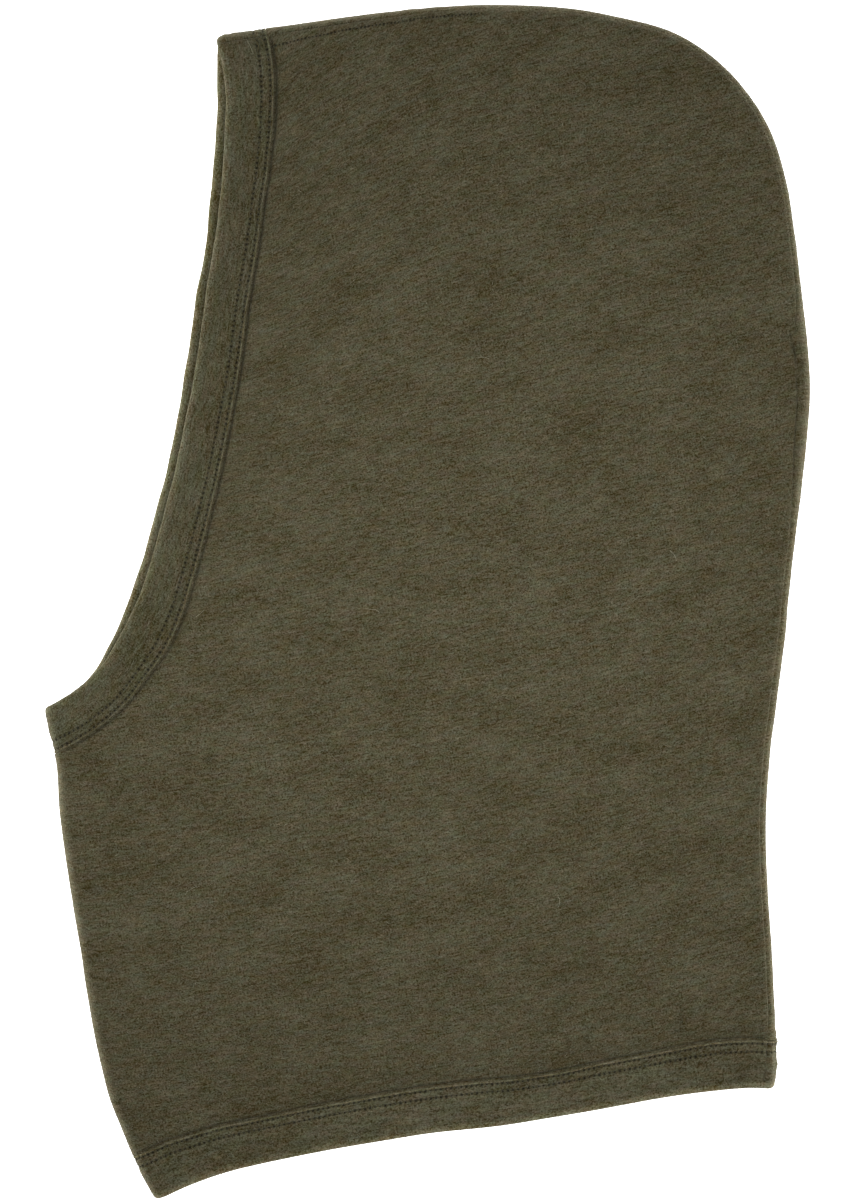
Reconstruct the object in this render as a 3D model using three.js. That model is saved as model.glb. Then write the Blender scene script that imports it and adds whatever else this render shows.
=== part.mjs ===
// Knit hood with an open face, lying flat on its side as it is folded away.
//
// One piece of jersey is folded at the centre front and sewn to itself over the crown and down the back.
// A folded band binds the face opening and another one binds the neck.
// X runs from the face to the back of the head, Y from the neck to the crown, and Z up from the surface.
// All sizes are in millimetres.

import * as THREE from 'three';

// Cloth
const JERSEY = 1.0;               // thickness of one layer of the knit
const SEWN_GAP = 0.25;            // clearance between layers that are sewn together
const SEAM_GAP = 0.4;             // clearance of the seam allowance, which lies on a curved layer
const LAID_HEIGHT = 15.0;         // surface to the top of the upper layer, at the two openings
const CURL_RADIUS = 6.0;          // how far the cloth curls round at the front fold and at the seam

// Bands: two legs with the raw edge of the body between them
const FACE_BAND_WIDTH = 17.6;
const NECK_BAND_WIDTH = 18.7;
const BAND_DEPTH = 3 * JERSEY + 2 * SEWN_GAP;
const RAW_EDGE = BAND_DEPTH / 2;  // how far the raw edge of the body stays behind the fold of its band
const BAND_RAMP = 8.0;            // the body rises to the level of the band over this width
const RIDGE_BEVEL = 0.3;          // the stitched edge of a band is rounded by this much
const LEG_STATIONS = [12, 6];     // distances from the opening at which a leg of a band is bent to the curve
const NOSE_STEPS = 4;

// Seam allowance inside the crown and the back
const ALLOWANCE_WIDTH = 5.5;
const ALLOWANCE_THICKNESS = 2 * JERSEY;
const ALLOWANCE_SHARES = [0, 0.33, 0.67, 1];
const ALLOWANCE_END_GAP = 1.0;    // between the end of the allowance and the band
const GROOVE_DEPTH = 0.45;        // the seam pulls the upper layer in by this much
const GROOVE_WIDTH = 0.8;
const GROOVE_SHARPNESS = 3;

// Outline from above. The lower layer is the one on the surface, and it shows past the upper one at the face.
const FACE_EDGE = [
  { y: -42.0, lower: -152.8, upper: -152.8 },
  { y: -35.4, lower: -140.8, upper: -140.8 },
  { y: -23.0, lower: -130.4, upper: -128.6 },
  { y: 0.6, lower: -119.6, upper: -116.0 },
  { y: 24.6, lower: -112.0, upper: -108.4 },
  { y: 48.6, lower: -105.6, upper: -102.0 },
  { y: 72.6, lower: -100.4, upper: -96.8 },
  { y: 96.6, lower: -96.4, upper: -92.4 },
  { y: 120.6, lower: -92.8, upper: -89.2 },
  { y: 144.6, lower: -88.8, upper: -85.2 },
  { y: 168.6, lower: -86.4, upper: -82.4 },
  { y: 196.6, lower: -84.2, upper: -81.0 },
  { y: 214.6, lower: -84.2, upper: -82.2 },
  { y: 225.4, lower: -84.4, upper: -84.4 },
];

const NECK_EDGE = [
  { x: -108.4, y: -238.9 },
  { x: -92.8, y: -231.8 },
  { x: -72.8, y: -225.4 },
  { x: -42.8, y: -219.0 },
  { x: -2.8, y: -212.2 },
  { x: 37.2, y: -207.4 },
  { x: 77.2, y: -200.6 },
  { x: 107.2, y: -195.4 },
  { x: 127.2, y: -193.6 },
  { x: 138.8, y: -194.2 },
];

const FRONT_FOLD = [
  { x: -108.4, y: -238.9 },
  { x: -114.6, y: -227.4 },
  { x: -125.2, y: -203.4 },
  { x: -131.4, y: -179.4 },
  { x: -140.0, y: -131.4 },
  { x: -146.6, y: -87.4 },
  { x: -148.4, y: -63.4 },
  { x: -151.2, y: -51.0 },
  { x: -152.8, y: -42.0 },
];

const BACK_AND_CROWN = [
  { x: 138.8, y: -194.2 },
  { x: 139.4, y: -178.0 },
  { x: 137.2, y: -131.4 },
  { x: 135.6, y: -95.4 },
  { x: 136.8, y: -65.4 },
  { x: 142.8, y: -11.4 },
  { x: 148.8, y: 36.6 },
  { x: 152.8, y: 80.6 },
  { x: 151.0, y: 112.6 },
  { x: 147.6, y: 144.6 },
  { x: 143.6, y: 168.6 },
  { x: 137.2, y: 188.2 },
  { x: 127.2, y: 204.2 },
  { x: 114.0, y: 217.6 },
  { x: 97.2, y: 227.6 },
  { x: 77.2, y: 233.2 },
  { x: 54.0, y: 237.2 },
  { x: 17.2, y: 238.2 },
  { x: -22.8, y: 234.8 },
  { x: -62.8, y: 229.2 },
  { x: -84.4, y: 225.4 },
];

// Width of each band along its opening, by share of the way from the front fold to the seam
const FACE_BAND_WIDTHS = [
  { share: 0, width: 19.2 },
  { share: 0.07, width: 18.2 },
  { share: 0.11, width: 17.4 },
  { share: 0.17, width: 18.9 },
  { share: 0.26, width: 18.2 },
  { share: 0.38, width: 17.6 },
  { share: 0.5, width: 17.3 },
  { share: 0.77, width: 17.2 },
  { share: 0.82, width: 18.1 },
  { share: 0.88, width: 19.1 },
  { share: 0.96, width: 20.0 },
  { share: 1, width: 20.2 },
];

const NECK_BAND_WIDTHS = [
  { share: 0, width: 19.7 },
  { share: 0.05, width: 19.4 },
  { share: 0.1, width: 18.7 },
  { share: 0.2, width: 17.8 },
  { share: 0.33, width: 18.1 },
  { share: 0.53, width: 18.4 },
  { share: 0.6, width: 17.7 },
  { share: 0.67, width: 17.5 },
  { share: 0.75, width: 18.2 },
  { share: 0.83, width: 18.4 },
  { share: 0.92, width: 19.2 },
  { share: 1, width: 19.1 },
];

// How far the seam has rolled on to the upper layer, by distance along it from the neck
const SEAM_ROLL = [
  { along: 0, inset: 5.0 },
  { along: 35, inset: 2.4 },
  { along: 220, inset: 2.8 },
  { along: 270, inset: 5.4 },
  { along: 300, inset: 6.0 },
  { along: 325, inset: 2.6 },
  { along: 470, inset: 2.4 },
  { along: 620, inset: 3.4 },
];

// Soft loft of the upper layer, and the shallow folds that lie in it
const LOFTS = [
  { x: 30, y: 90, radius: 95, height: 2.6 },
  { x: 0, y: -110, radius: 75, height: 1.2 },
];

const FOLDS = [
  { fromX: 44, fromY: -178, toX: 86, toY: -108, width: 9, depth: 1.0 },
  { fromX: -62, fromY: 128, toX: -44, toY: 152, width: 7, depth: 0.8 },
  { fromX: -68, fromY: 66, toX: -48, toY: 44, width: 7, depth: 0.8 },
  { fromX: -88, fromY: -190, toX: 6, toY: -166, width: 10, depth: 0.8 },
  { fromX: 128, fromY: 112, toX: 146, toY: 92, width: 6, depth: 0.9 },
];

// Rows of the mesh: distances from an opening inside its band and ramp, then shares of the way between them
const NECK_ZONE = NECK_BAND_WIDTH + BAND_RAMP;
const FACE_ZONE = FACE_BAND_WIDTH + BAND_RAMP;
const LAST_ROW = NECK_ZONE + 1 + FACE_ZONE;
const END_BLEND = 0.12;           // share of an opening over which its inner lines bend to meet fold and seam
const EDGE_SMOOTHING = 0.06;      // the heading of an opening is taken over this share of it to either side
const ROWS_BETWEEN = 24;
const RAMP_STATIONS = [2, 5];     // distances from a band at which the body has a row while it rises beside it
const CURL_STEPS = 4;
const UPPER_STEPS = 16;
const LOWER_STEPS = 10;
const LOWER_CROWDING = 1.4;       // above 1 the steps of the lower layer crowd towards the chin
const BESIDE_SEAM = 4;            // the last even step of the upper layer ends this far inside the seam
const ROLLED_SHARES = [0.4, 0.1]; // columns between the seam and the silhouette, as shares of the seam's inset

const QUARTER = Math.PI / 2;
const UPPER = 1;
const LOWER = -1;

function curve(points) {
  const line = new THREE.SplineCurve(points.map((p) => new THREE.Vector2(p.x, p.y)));
  line.arcLengthDivisions = 2000;
  return line;
}

const smooth = (value, low, high) => THREE.MathUtils.smoothstep(value, low, high);

// Value of one column of a table, eased between its entries
function readTable(table, keyColumn, key, valueColumn) {
  const next = table.findIndex((entry) => entry[keyColumn] > key);
  if (next < 0) return table[table.length - 1][valueColumn];
  const before = table[next - 1];
  const after = table[next];
  const share = smooth(key, before[keyColumn], after[keyColumn]);
  return before[valueColumn] + share * (after[valueColumn] - before[valueColumn]);
}

// An opening, the side on which its band lies, and how much wider than nominal the band is at a share of it
const neckSpread = (share) => readTable(NECK_BAND_WIDTHS, 'share', share, 'width') / NECK_BAND_WIDTH;
const faceSpread = (share) => readTable(FACE_BAND_WIDTHS, 'share', share, 'width') / FACE_BAND_WIDTH;
const neckOpening = { line: curve(NECK_EDGE), turn: 1, spread: neckSpread };
const faceOpening = {
  [UPPER]: { line: curve(FACE_EDGE.map((p) => ({ x: p.upper, y: p.y }))), turn: -1, spread: faceSpread },
  [LOWER]: { line: curve(FACE_EDGE.map((p) => ({ x: p.lower, y: p.y }))), turn: -1, spread: faceSpread },
};

// A side joins the two openings, at the start or the end of both
const foldSide = { line: curve(FRONT_FOLD), neckSpread: neckSpread(0), faceSpread: faceSpread(0) };
const seamSide = { line: curve(BACK_AND_CROWN), neckSpread: neckSpread(1), faceSpread: faceSpread(1) };

// Distance from the neck along a side, for a row
function sideDistance(row, side) {
  const length = side.line.getLength();
  if (row <= NECK_ZONE) return row * side.neckSpread;
  if (row >= NECK_ZONE + 1) return length - (LAST_ROW - row) * side.faceSpread;
  const start = NECK_ZONE * side.neckSpread;
  const end = length - FACE_ZONE * side.faceSpread;
  return start + (row - NECK_ZONE) * (end - start);
}

const onSide = (side, row) => side.line.getPointAt(sideDistance(row, side) / side.line.getLength());

// A line beside an opening: offset from its edge, and bent at both ends to start on the fold and end on the seam
function besideEdge(opening, across, distance, row) {
  const offset = (share) => {
    const before = opening.line.getPointAt(Math.max(share - EDGE_SMOOTHING, 0));
    const after = opening.line.getPointAt(Math.min(share + EDGE_SMOOTHING, 1));
    const heading = after.sub(before).normalize();
    const inward = new THREE.Vector2(-heading.y, heading.x).multiplyScalar(opening.turn);
    return opening.line.getPointAt(share).addScaledVector(inward, distance * opening.spread(share));
  };
  const toFold = onSide(foldSide, row).sub(offset(0));
  const toSeam = onSide(seamSide, row).sub(offset(1));
  return offset(across)
    .addScaledVector(toFold, 1 - smooth(across, 0, END_BLEND))
    .addScaledVector(toSeam, smooth(across, 1 - END_BLEND, 1));
}

// Where a point of a layer lies from above: across is 0 at the front fold and 1 at the seam
function plan(layer, across, row) {
  if (row <= NECK_ZONE) return besideEdge(neckOpening, across, row, row);
  if (row >= NECK_ZONE + 1) return besideEdge(faceOpening[layer], across, LAST_ROW - row, row);
  const share = row - NECK_ZONE;
  const neckSide = (u) => besideEdge(neckOpening, u, NECK_ZONE, NECK_ZONE);
  const faceSide = (u) => besideEdge(faceOpening[layer], u, FACE_ZONE, NECK_ZONE + 1);
  const ruled = neckSide(across).lerp(faceSide(across), share);
  const sides = onSide(foldSide, row).lerp(onSide(seamSide, row), across);
  const corners = neckSide(0).lerp(neckSide(1), across).lerp(faceSide(0).lerp(faceSide(1), across), share);
  return ruled.add(sides).sub(corners);
}

// Width of a whole row, measured square to the fold or the seam where the row meets it
function rowSpan(end, row) {
  const step = 0.02;
  const at = end === 'fold' ? 0 : 1;
  const inward = end === 'fold' ? step : -step;
  const low = Math.max(row - step, 0);
  const high = Math.min(row + step, LAST_ROW);
  const along = plan(UPPER, at, high).sub(plan(UPPER, at, low)).normalize();
  const across = plan(UPPER, at + inward, row).sub(plan(UPPER, at, row));
  return Math.abs(across.cross(along)) / step;
}

// The curl turns a quarter from the silhouette to the flat of a layer, and goes on counting beyond it
const curlAt = (distance) => (distance < CURL_RADIUS
  ? Math.acos(1 - distance / CURL_RADIUS)
  : QUARTER + distance / CURL_RADIUS - 1);
const distanceAt = (curl) => (curl < QUARTER
  ? CURL_RADIUS * (1 - Math.cos(curl))
  : CURL_RADIUS * (1 + curl - QUARTER));

function loft(x, y) {
  let height = 0;
  for (const soft of LOFTS) {
    height += soft.height * Math.exp(-(((x - soft.x) ** 2) + ((y - soft.y) ** 2)) / soft.radius ** 2);
  }
  for (const fold of FOLDS) {
    const run = new THREE.Vector2(fold.toX - fold.fromX, fold.toY - fold.fromY);
    const from = new THREE.Vector2(x - fold.fromX, y - fold.fromY);
    const along = from.dot(run) / run.lengthSq();
    const beside = from.cross(run) / run.length();
    const taper = Math.exp(-(((along - 0.5) / 0.5) ** 2));
    height -= fold.depth * taper * Math.exp(-((beside / fold.width) ** 2));
  }
  return height;
}

// The outermost surface of the hood
function skin(layer, end, curl, row) {
  if (curl < 0) return skin(-layer, end, -curl, row);
  const across = distanceAt(curl) / rowSpan(end, row);
  const point = plan(layer, end === 'fold' ? across : 1 - across, row);
  const rise = Math.sin(Math.min(curl, QUARTER));
  const level = (LAID_HEIGHT / 2) * (1 + layer * rise);
  const extra = layer === UPPER ? rise * loft(point.x, point.y) : 0;
  return new THREE.Vector3(point.x, point.y, level + extra);
}

// A point at a depth under the skin
function beneath(layer, end, curl, row, depth) {
  const step = 0.05;
  const low = Math.max(row - step, 0);
  const high = Math.min(row + step, LAST_ROW);
  const across = skin(layer, end, curl + step, row).sub(skin(layer, end, curl - step, row));
  const along = skin(layer, end, curl, high).sub(skin(layer, end, curl, low));
  const outward = across.cross(along).normalize().multiplyScalar(end === 'fold' ? layer : -layer);
  return skin(layer, end, curl, row).addScaledVector(outward, -depth);
}

const seamInset = (row) => readTable(SEAM_ROLL, 'along', sideDistance(row, seamSide), 'inset');

// Places round one row, from the fold over the upper layer to the seam, and back under it
function ring(row) {
  const foldSpan = rowSpan('fold', row);
  const seamSpan = rowSpan('seam', row);
  const inset = seamInset(row);
  const places = [];
  const addAt = (layer, end, curl) => places.push({ layer, end, curl });
  const addBetween = (layer, from, to, steps, crowding) => {
    for (let i = 1; i < steps; i += 1) {
      const across = to + (from - to) * (1 - i / steps) ** crowding;
      if (across < 0.5) addAt(layer, 'fold', curlAt(across * foldSpan));
      else addAt(layer, 'seam', curlAt((1 - across) * seamSpan));
    }
  };
  for (let i = 0; i <= CURL_STEPS; i += 1) addAt(UPPER, 'fold', (QUARTER * i) / CURL_STEPS);
  const flatEnd = inset + BESIDE_SEAM;
  addBetween(UPPER, CURL_RADIUS / foldSpan, 1 - flatEnd / seamSpan, UPPER_STEPS, 1);
  const nearSeam = [flatEnd, inset + GROOVE_WIDTH, inset, inset - GROOVE_WIDTH];
  const rolled = ROLLED_SHARES.map((share) => share * inset);
  for (const distance of [...nearSeam, ...rolled, 0]) addAt(UPPER, 'seam', curlAt(distance));
  for (let i = 1; i <= CURL_STEPS; i += 1) addAt(LOWER, 'seam', (QUARTER * i) / CURL_STEPS);
  addBetween(LOWER, 1 - CURL_RADIUS / seamSpan, CURL_RADIUS / foldSpan, LOWER_STEPS, LOWER_CROWDING);
  for (let i = CURL_STEPS; i >= 1; i -= 1) addAt(LOWER, 'fold', (QUARTER * i) / CURL_STEPS);
  return places;
}

const ringAt = (row, depthOf) => ring(row)
  .map((place) => beneath(place.layer, place.end, place.curl, row, depthOf(place)));

// Closed solid from rings of equal length: joined in a loop, or closed by flat caps
function solidFromRings(rings, looped) {
  const count = rings[0].length;
  const corners = [];
  const triangle = (a, b, c) => corners.push(a, b, c);
  const last = looped ? rings.length : rings.length - 1;
  for (let i = 0; i < last; i += 1) {
    const here = rings[i];
    const there = rings[(i + 1) % rings.length];
    for (let j = 0; j < count; j += 1) {
      const k = (j + 1) % count;
      triangle(here[j], here[k], there[k]);
      triangle(here[j], there[k], there[j]);
    }
  }
  if (!looped) {
    const end = rings[rings.length - 1];
    for (let j = 0; j < count / 2 - 1; j += 1) {
      const k = count - 1 - j;
      triangle(rings[0][j], rings[0][k - 1], rings[0][j + 1]);
      triangle(rings[0][j], rings[0][k], rings[0][k - 1]);
      triangle(end[j], end[j + 1], end[k - 1]);
      triangle(end[j], end[k - 1], end[k]);
    }
  }
  let volume = 0;
  for (let i = 0; i < corners.length; i += 3) {
    volume += corners[i].dot(new THREE.Vector3().crossVectors(corners[i + 1], corners[i + 2]));
  }
  if (volume < 0) corners.reverse();
  const geometry = new THREE.BufferGeometry().setFromPoints(corners);
  geometry.computeVertexNormals();
  return geometry;
}

// 0 under the bands and 1 where the body has come up beside them
const clearOfBands = (row) => smooth(row, NECK_BAND_WIDTH, NECK_ZONE)
  * smooth(LAST_ROW - row, FACE_BAND_WIDTH, FACE_ZONE);
const bodyDepth = (row) => (1 - clearOfBands(row)) * (JERSEY + SEWN_GAP);

function grooveDepth(row, place) {
  if (place.layer !== UPPER || place.end !== 'seam') return 0;
  const away = (distanceAt(place.curl) - seamInset(row)) / GROOVE_WIDTH;
  return clearOfBands(row) * GROOVE_DEPTH * Math.exp(-GROOVE_SHARPNESS * away ** 2);
}

function bodyGeometry() {
  const stations = (width) => [
    RAW_EDGE,
    ...LEG_STATIONS.slice().reverse(),
    width,
    ...RAMP_STATIONS.map((step) => width + step),
  ];
  const rows = stations(NECK_BAND_WIDTH);
  for (let i = 0; i <= ROWS_BETWEEN; i += 1) rows.push(NECK_ZONE + i / ROWS_BETWEEN);
  for (const distance of stations(FACE_BAND_WIDTH).reverse()) rows.push(LAST_ROW - distance);
  const outer = rows.map((row) => ringAt(row, (place) => bodyDepth(row) + grooveDepth(row, place)));
  const inner = rows.map((row) => ringAt(row, (place) => bodyDepth(row) + grooveDepth(row, place) + JERSEY));
  return solidFromRings([...outer, ...inner.reverse()], true);
}

// A band's section: down the outer leg to its fold at the edge of the opening, and back along the inner leg
function bandSection(width) {
  const legs = [width, ...LEG_STATIONS];
  const nose = BAND_DEPTH / 2;
  const section = [{ from: width - RIDGE_BEVEL, depth: 0 }];
  for (const from of LEG_STATIONS) section.push({ from, depth: 0 });
  for (let i = 0; i <= NOSE_STEPS; i += 1) {
    const angle = (Math.PI * i) / NOSE_STEPS;
    section.push({ from: nose * (1 - Math.sin(angle)), depth: nose * (1 - Math.cos(angle)) });
  }
  for (const from of legs.slice().reverse()) section.push({ from, depth: BAND_DEPTH });
  for (const from of legs) section.push({ from, depth: BAND_DEPTH - JERSEY });
  section.push({ from: nose - SEWN_GAP, depth: BAND_DEPTH - JERSEY });
  section.push({ from: nose - SEWN_GAP, depth: JERSEY });
  for (const from of legs.slice().reverse()) section.push({ from, depth: JERSEY });
  section.push({ from: width, depth: RIDGE_BEVEL });
  return section;
}

function bandGeometry(width, rowAt) {
  const rings = bandSection(width).map((spot) => ringAt(rowAt(spot.from), () => spot.depth));
  return solidFromRings(rings, true);
}

// The overlocked allowance lies inside against the upper layer, from one band to the other
function seamGeometry() {
  const [, pastRamp] = RAMP_STATIONS;
  const rows = [NECK_BAND_WIDTH + ALLOWANCE_END_GAP, NECK_BAND_WIDTH + pastRamp];
  for (let i = 0; i <= ROWS_BETWEEN; i += 1) rows.push(NECK_ZONE + i / ROWS_BETWEEN);
  rows.push(LAST_ROW - FACE_BAND_WIDTH - pastRamp, LAST_ROW - FACE_BAND_WIDTH - ALLOWANCE_END_GAP);
  const sections = rows.map((row) => {
    const top = bodyDepth(row) + JERSEY + SEAM_GAP;
    const start = seamInset(row) + 2 * GROOVE_WIDTH;
    const face = (depth, order) => order.map((share) => beneath(
      UPPER,
      'seam',
      curlAt(start + share * ALLOWANCE_WIDTH),
      row,
      depth,
    ));
    const back = ALLOWANCE_SHARES.slice().reverse();
    return [...face(top, ALLOWANCE_SHARES), ...face(top + ALLOWANCE_THICKNESS, back)];
  });
  return solidFromRings(sections, false);
}

function part(name, geometry, color) {
  const mesh = new THREE.Mesh(geometry, new THREE.MeshStandardMaterial({ color, roughness: 0.95, metalness: 0 }));
  mesh.name = name;
  return mesh;
}

const hood = new THREE.Group();
hood.add(
  part('knit_body', bodyGeometry(), 0x544f3b),
  part('face_band', bandGeometry(FACE_BAND_WIDTH, (from) => LAST_ROW - from), 0x4a4535),
  part('neck_band', bandGeometry(NECK_BAND_WIDTH, (from) => from), 0x4c4736),
  part('centre_seam', seamGeometry(), 0x464132),
);

export default hood;
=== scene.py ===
# %% [markdown]
# # A knit hood, laid flat on its side
#
# The hood is made of heathered olive jersey. One piece of cloth is folded at the centre front, below the
# chin, and sewn to itself over the crown and down the back. A folded band binds the face opening and another
# binds the neck. The imported model gives the frame that every piece here has to fit, so it is loaded first.

# %% Load the imported model
import math

import bpy
import numpy as np
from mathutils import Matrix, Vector


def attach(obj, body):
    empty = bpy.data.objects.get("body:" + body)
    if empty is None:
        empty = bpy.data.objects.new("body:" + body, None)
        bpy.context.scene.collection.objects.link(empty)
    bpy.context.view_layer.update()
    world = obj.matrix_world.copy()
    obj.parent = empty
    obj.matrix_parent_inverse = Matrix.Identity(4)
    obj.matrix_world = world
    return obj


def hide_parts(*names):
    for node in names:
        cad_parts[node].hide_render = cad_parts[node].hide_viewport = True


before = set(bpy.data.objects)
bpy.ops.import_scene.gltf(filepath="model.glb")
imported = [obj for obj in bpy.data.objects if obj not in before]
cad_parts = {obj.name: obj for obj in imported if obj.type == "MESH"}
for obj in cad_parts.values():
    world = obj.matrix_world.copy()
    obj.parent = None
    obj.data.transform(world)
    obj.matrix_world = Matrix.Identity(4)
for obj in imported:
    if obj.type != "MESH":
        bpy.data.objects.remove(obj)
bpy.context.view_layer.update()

# %% [markdown]
# ## The sizes
#
# A maker would measure a hood with a tape, so all sizes are in millimetres here and become metres only when
# a mesh is made. The frame has X from the face to the back of the head, Y from the neck to the crown, and Z
# up from the surface that the hood lies on.

# %% Sizes of the cloth, the bands and the seam
MM = 0.001
JERSEY = 1.0           # one layer of the knit
SEWN_GAP = 0.25        # between layers that are sewn together
SEAM_GAP = 0.4         # between the seam allowance and the layer that it lies on
LAID_HEIGHT = 15.0     # surface to the top of the upper layer, at the openings
CURL_RADIUS = 6.0      # how far the cloth curls round at the front fold and at the seam
FACE_BAND_WIDTH = 17.6
NECK_BAND_WIDTH = 18.7
BAND_DEPTH = 3 * JERSEY + 2 * SEWN_GAP
RAW_EDGE = BAND_DEPTH / 2
BAND_RAMP = 8.0        # the body comes up beside a band over this width
GROOVE_WIDTH = 0.8
ALLOWANCE_WIDTH = 5.5
ALLOWANCE_THICKNESS = 2 * JERSEY

# %% [markdown]
# ## The outline
#
# Seen from above, the hood is bounded by four curves: the face edge, the neck edge, the front fold, and the
# back with the crown. Each is a short table of points that a smooth spline runs through. The lower layer has
# slipped a little past the upper one at the face, so the face edge has two columns.

# %% Tables of the four edges
FACE_EDGE = [  # y, x of the lower layer, x of the upper layer
    (-42.0, -152.8, -152.8),
    (-35.4, -140.8, -140.0),
    (-23.0, -130.4, -127.8),
    (0.6, -119.6, -115.2),
    (24.6, -112.0, -107.5),
    (48.6, -105.6, -101.1),
    (72.6, -100.4, -95.9),
    (96.6, -96.4, -91.5),
    (120.6, -92.8, -88.3),
    (144.6, -88.8, -84.3),
    (168.6, -86.4, -81.5),
    (196.6, -84.2, -80.2),
    (214.6, -84.2, -81.6),
    (225.4, -84.4, -84.4),
]
NECK_EDGE = [  # x, y
    (-108.4, -238.9), (-92.8, -231.8), (-72.8, -225.4), (-42.8, -219.0), (-2.8, -212.2),
    (37.2, -207.4), (77.2, -200.6), (107.2, -195.4), (127.2, -193.6), (138.8, -194.2),
]
FRONT_FOLD = [  # x, y
    (-108.4, -238.9), (-114.6, -227.4), (-125.2, -203.4), (-131.4, -179.4), (-140.0, -131.4),
    (-146.6, -87.4), (-148.4, -63.4), (-151.2, -51.0), (-152.8, -42.0),
]
BACK_AND_CROWN = [  # x, y
    (138.8, -194.2), (139.4, -178.0), (137.2, -131.4), (135.6, -95.4), (136.8, -65.4),
    (142.8, -11.4), (148.8, 36.6), (152.8, 80.6), (151.0, 112.6), (147.6, 144.6),
    (143.6, 168.6), (137.2, 188.2), (127.2, 204.2), (114.0, 217.6), (97.2, 227.6),
    (77.2, 233.2), (54.0, 237.2), (17.2, 238.2), (-22.8, 234.8), (-62.8, 229.2), (-84.4, 225.4),
]
FACE_BAND_WIDTHS = [  # share of the face edge from the chin, width of its band
    (0, 19.2), (0.07, 18.2), (0.11, 17.4), (0.17, 18.9), (0.26, 18.2), (0.38, 17.6),
    (0.5, 17.3), (0.77, 17.2), (0.82, 18.1), (0.88, 19.1), (0.96, 20.0), (1, 20.2),
]
NECK_BAND_WIDTHS = [  # share of the neck edge from the front, width of its band
    (0, 19.7), (0.05, 19.4), (0.1, 18.7), (0.2, 17.8), (0.33, 18.1), (0.53, 18.4),
    (0.6, 17.7), (0.67, 17.5), (0.75, 18.2), (0.83, 18.4), (0.92, 19.2), (1, 19.1),
]
SEAM_ROLL = [  # distance along the seam from the neck, how far the seam has rolled on to the upper layer
    (0, 5.0), (35, 2.4), (220, 2.8), (270, 5.4), (300, 6.0), (325, 2.6), (470, 2.4), (620, 3.4),
]


# %% Small helpers for easing and mixing
def smooth(value, low, high):
    share = np.clip((value - low) / (high - low), 0, 1)
    return share * share * (3 - 2 * share)


def hump(value, begins, full, falls, gone):
    """Rises from 0 to 1, stays there, and falls to 0 again."""
    return smooth(value, begins, full) * (1 - smooth(value, falls, gone))


def mix(a, b, share):
    return a + (b - a) * share


# %% A smooth line that can be asked for a place at any share of its length
class Line:
    """A spline through points, which clamps at both ends."""

    def __init__(self, points, steps=4000):
        points = np.array(points, float)
        last = len(points) - 1
        way = np.linspace(0, last, steps + 1)
        piece = np.minimum(way.astype(int), last - 1)
        part = (way - piece)[:, None]
        before, here, there, after = (points[np.clip(piece + i, 0, last)] for i in (-1, 0, 1, 2))
        lead, trail = (there - before) / 2, (after - here) / 2
        self.places = (
            (2 * here - 2 * there + lead + trail) * part**3
            + (3 * there - 3 * here - 2 * lead - trail) * part**2
            + lead * part
            + here
        )
        hops = np.linalg.norm(np.diff(self.places, axis=0), axis=1)
        self.travelled = np.concatenate([[0], np.cumsum(hops)])
        self.length = self.travelled[-1]

    def at(self, share):
        way = np.asarray(share, float) * self.length
        return np.stack([np.interp(way, self.travelled, self.places[:, i]) for i in (0, 1)], -1)


fold_line = Line(FRONT_FOLD)
seam_line = Line(BACK_AND_CROWN)
neck_line = Line(NECK_EDGE)
face_lower = Line([(lower, y) for y, lower, upper in FACE_EDGE])
face_upper = Line([(upper, y) for y, lower, upper in FACE_EDGE])
for name, line in (("fold", fold_line), ("seam", seam_line), ("neck", neck_line), ("face", face_upper)):
    print(f"{name} line: {line.length:.1f} mm long")

# %% [markdown]
# ## Rows from the neck to the face
#
# Like knitting, the cloth is described in rows. A row starts on the front fold and ends on the seam. Beside
# each opening a row is counted in millimetres from that opening, so that a band and its stitches keep an even
# width. Between the two openings the rows fan out evenly, as a patch that is pinned to all four curves.

# %% Where a point of a row lies, seen from above
NECK_ZONE = NECK_BAND_WIDTH + BAND_RAMP
FACE_ZONE = FACE_BAND_WIDTH + BAND_RAMP
LAST_ROW = NECK_ZONE + 1 + FACE_ZONE
END_BLEND = 0.12        # share of an opening over which its inner lines bend to meet fold and seam
EDGE_SMOOTHING = 0.06   # the heading of an opening is taken over this share of it to either side
UPPER, LOWER = 1, -1
QUARTER = math.pi / 2


def read_table(table, key):
    """The second column of a table at any value of the first, eased between its entries."""
    keys, values = np.array(table, float).T
    k = np.clip(np.searchsorted(keys, key, side="right") - 1, 0, len(keys) - 2)
    return mix(values[k], values[k + 1], smooth(key, keys[k], keys[k + 1]))


def neck_spread(share):
    return read_table(NECK_BAND_WIDTHS, share) / NECK_BAND_WIDTH


def face_spread(share):
    return read_table(FACE_BAND_WIDTHS, share) / FACE_BAND_WIDTH


def side_distance(row, line):
    end = 0 if line is fold_line else 1
    low, high = float(neck_spread(end)), float(face_spread(end))
    start, stop = NECK_ZONE * low, line.length - FACE_ZONE * high
    past = line.length - (LAST_ROW - row) * high
    between = start + (row - NECK_ZONE) * (stop - start)
    return np.where(row <= NECK_ZONE, row * low, np.where(row >= NECK_ZONE + 1, past, between))


def on_fold(row):
    return fold_line.at(side_distance(row, fold_line) / fold_line.length)


def on_seam(row):
    return seam_line.at(side_distance(row, seam_line) / seam_line.length)


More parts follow.
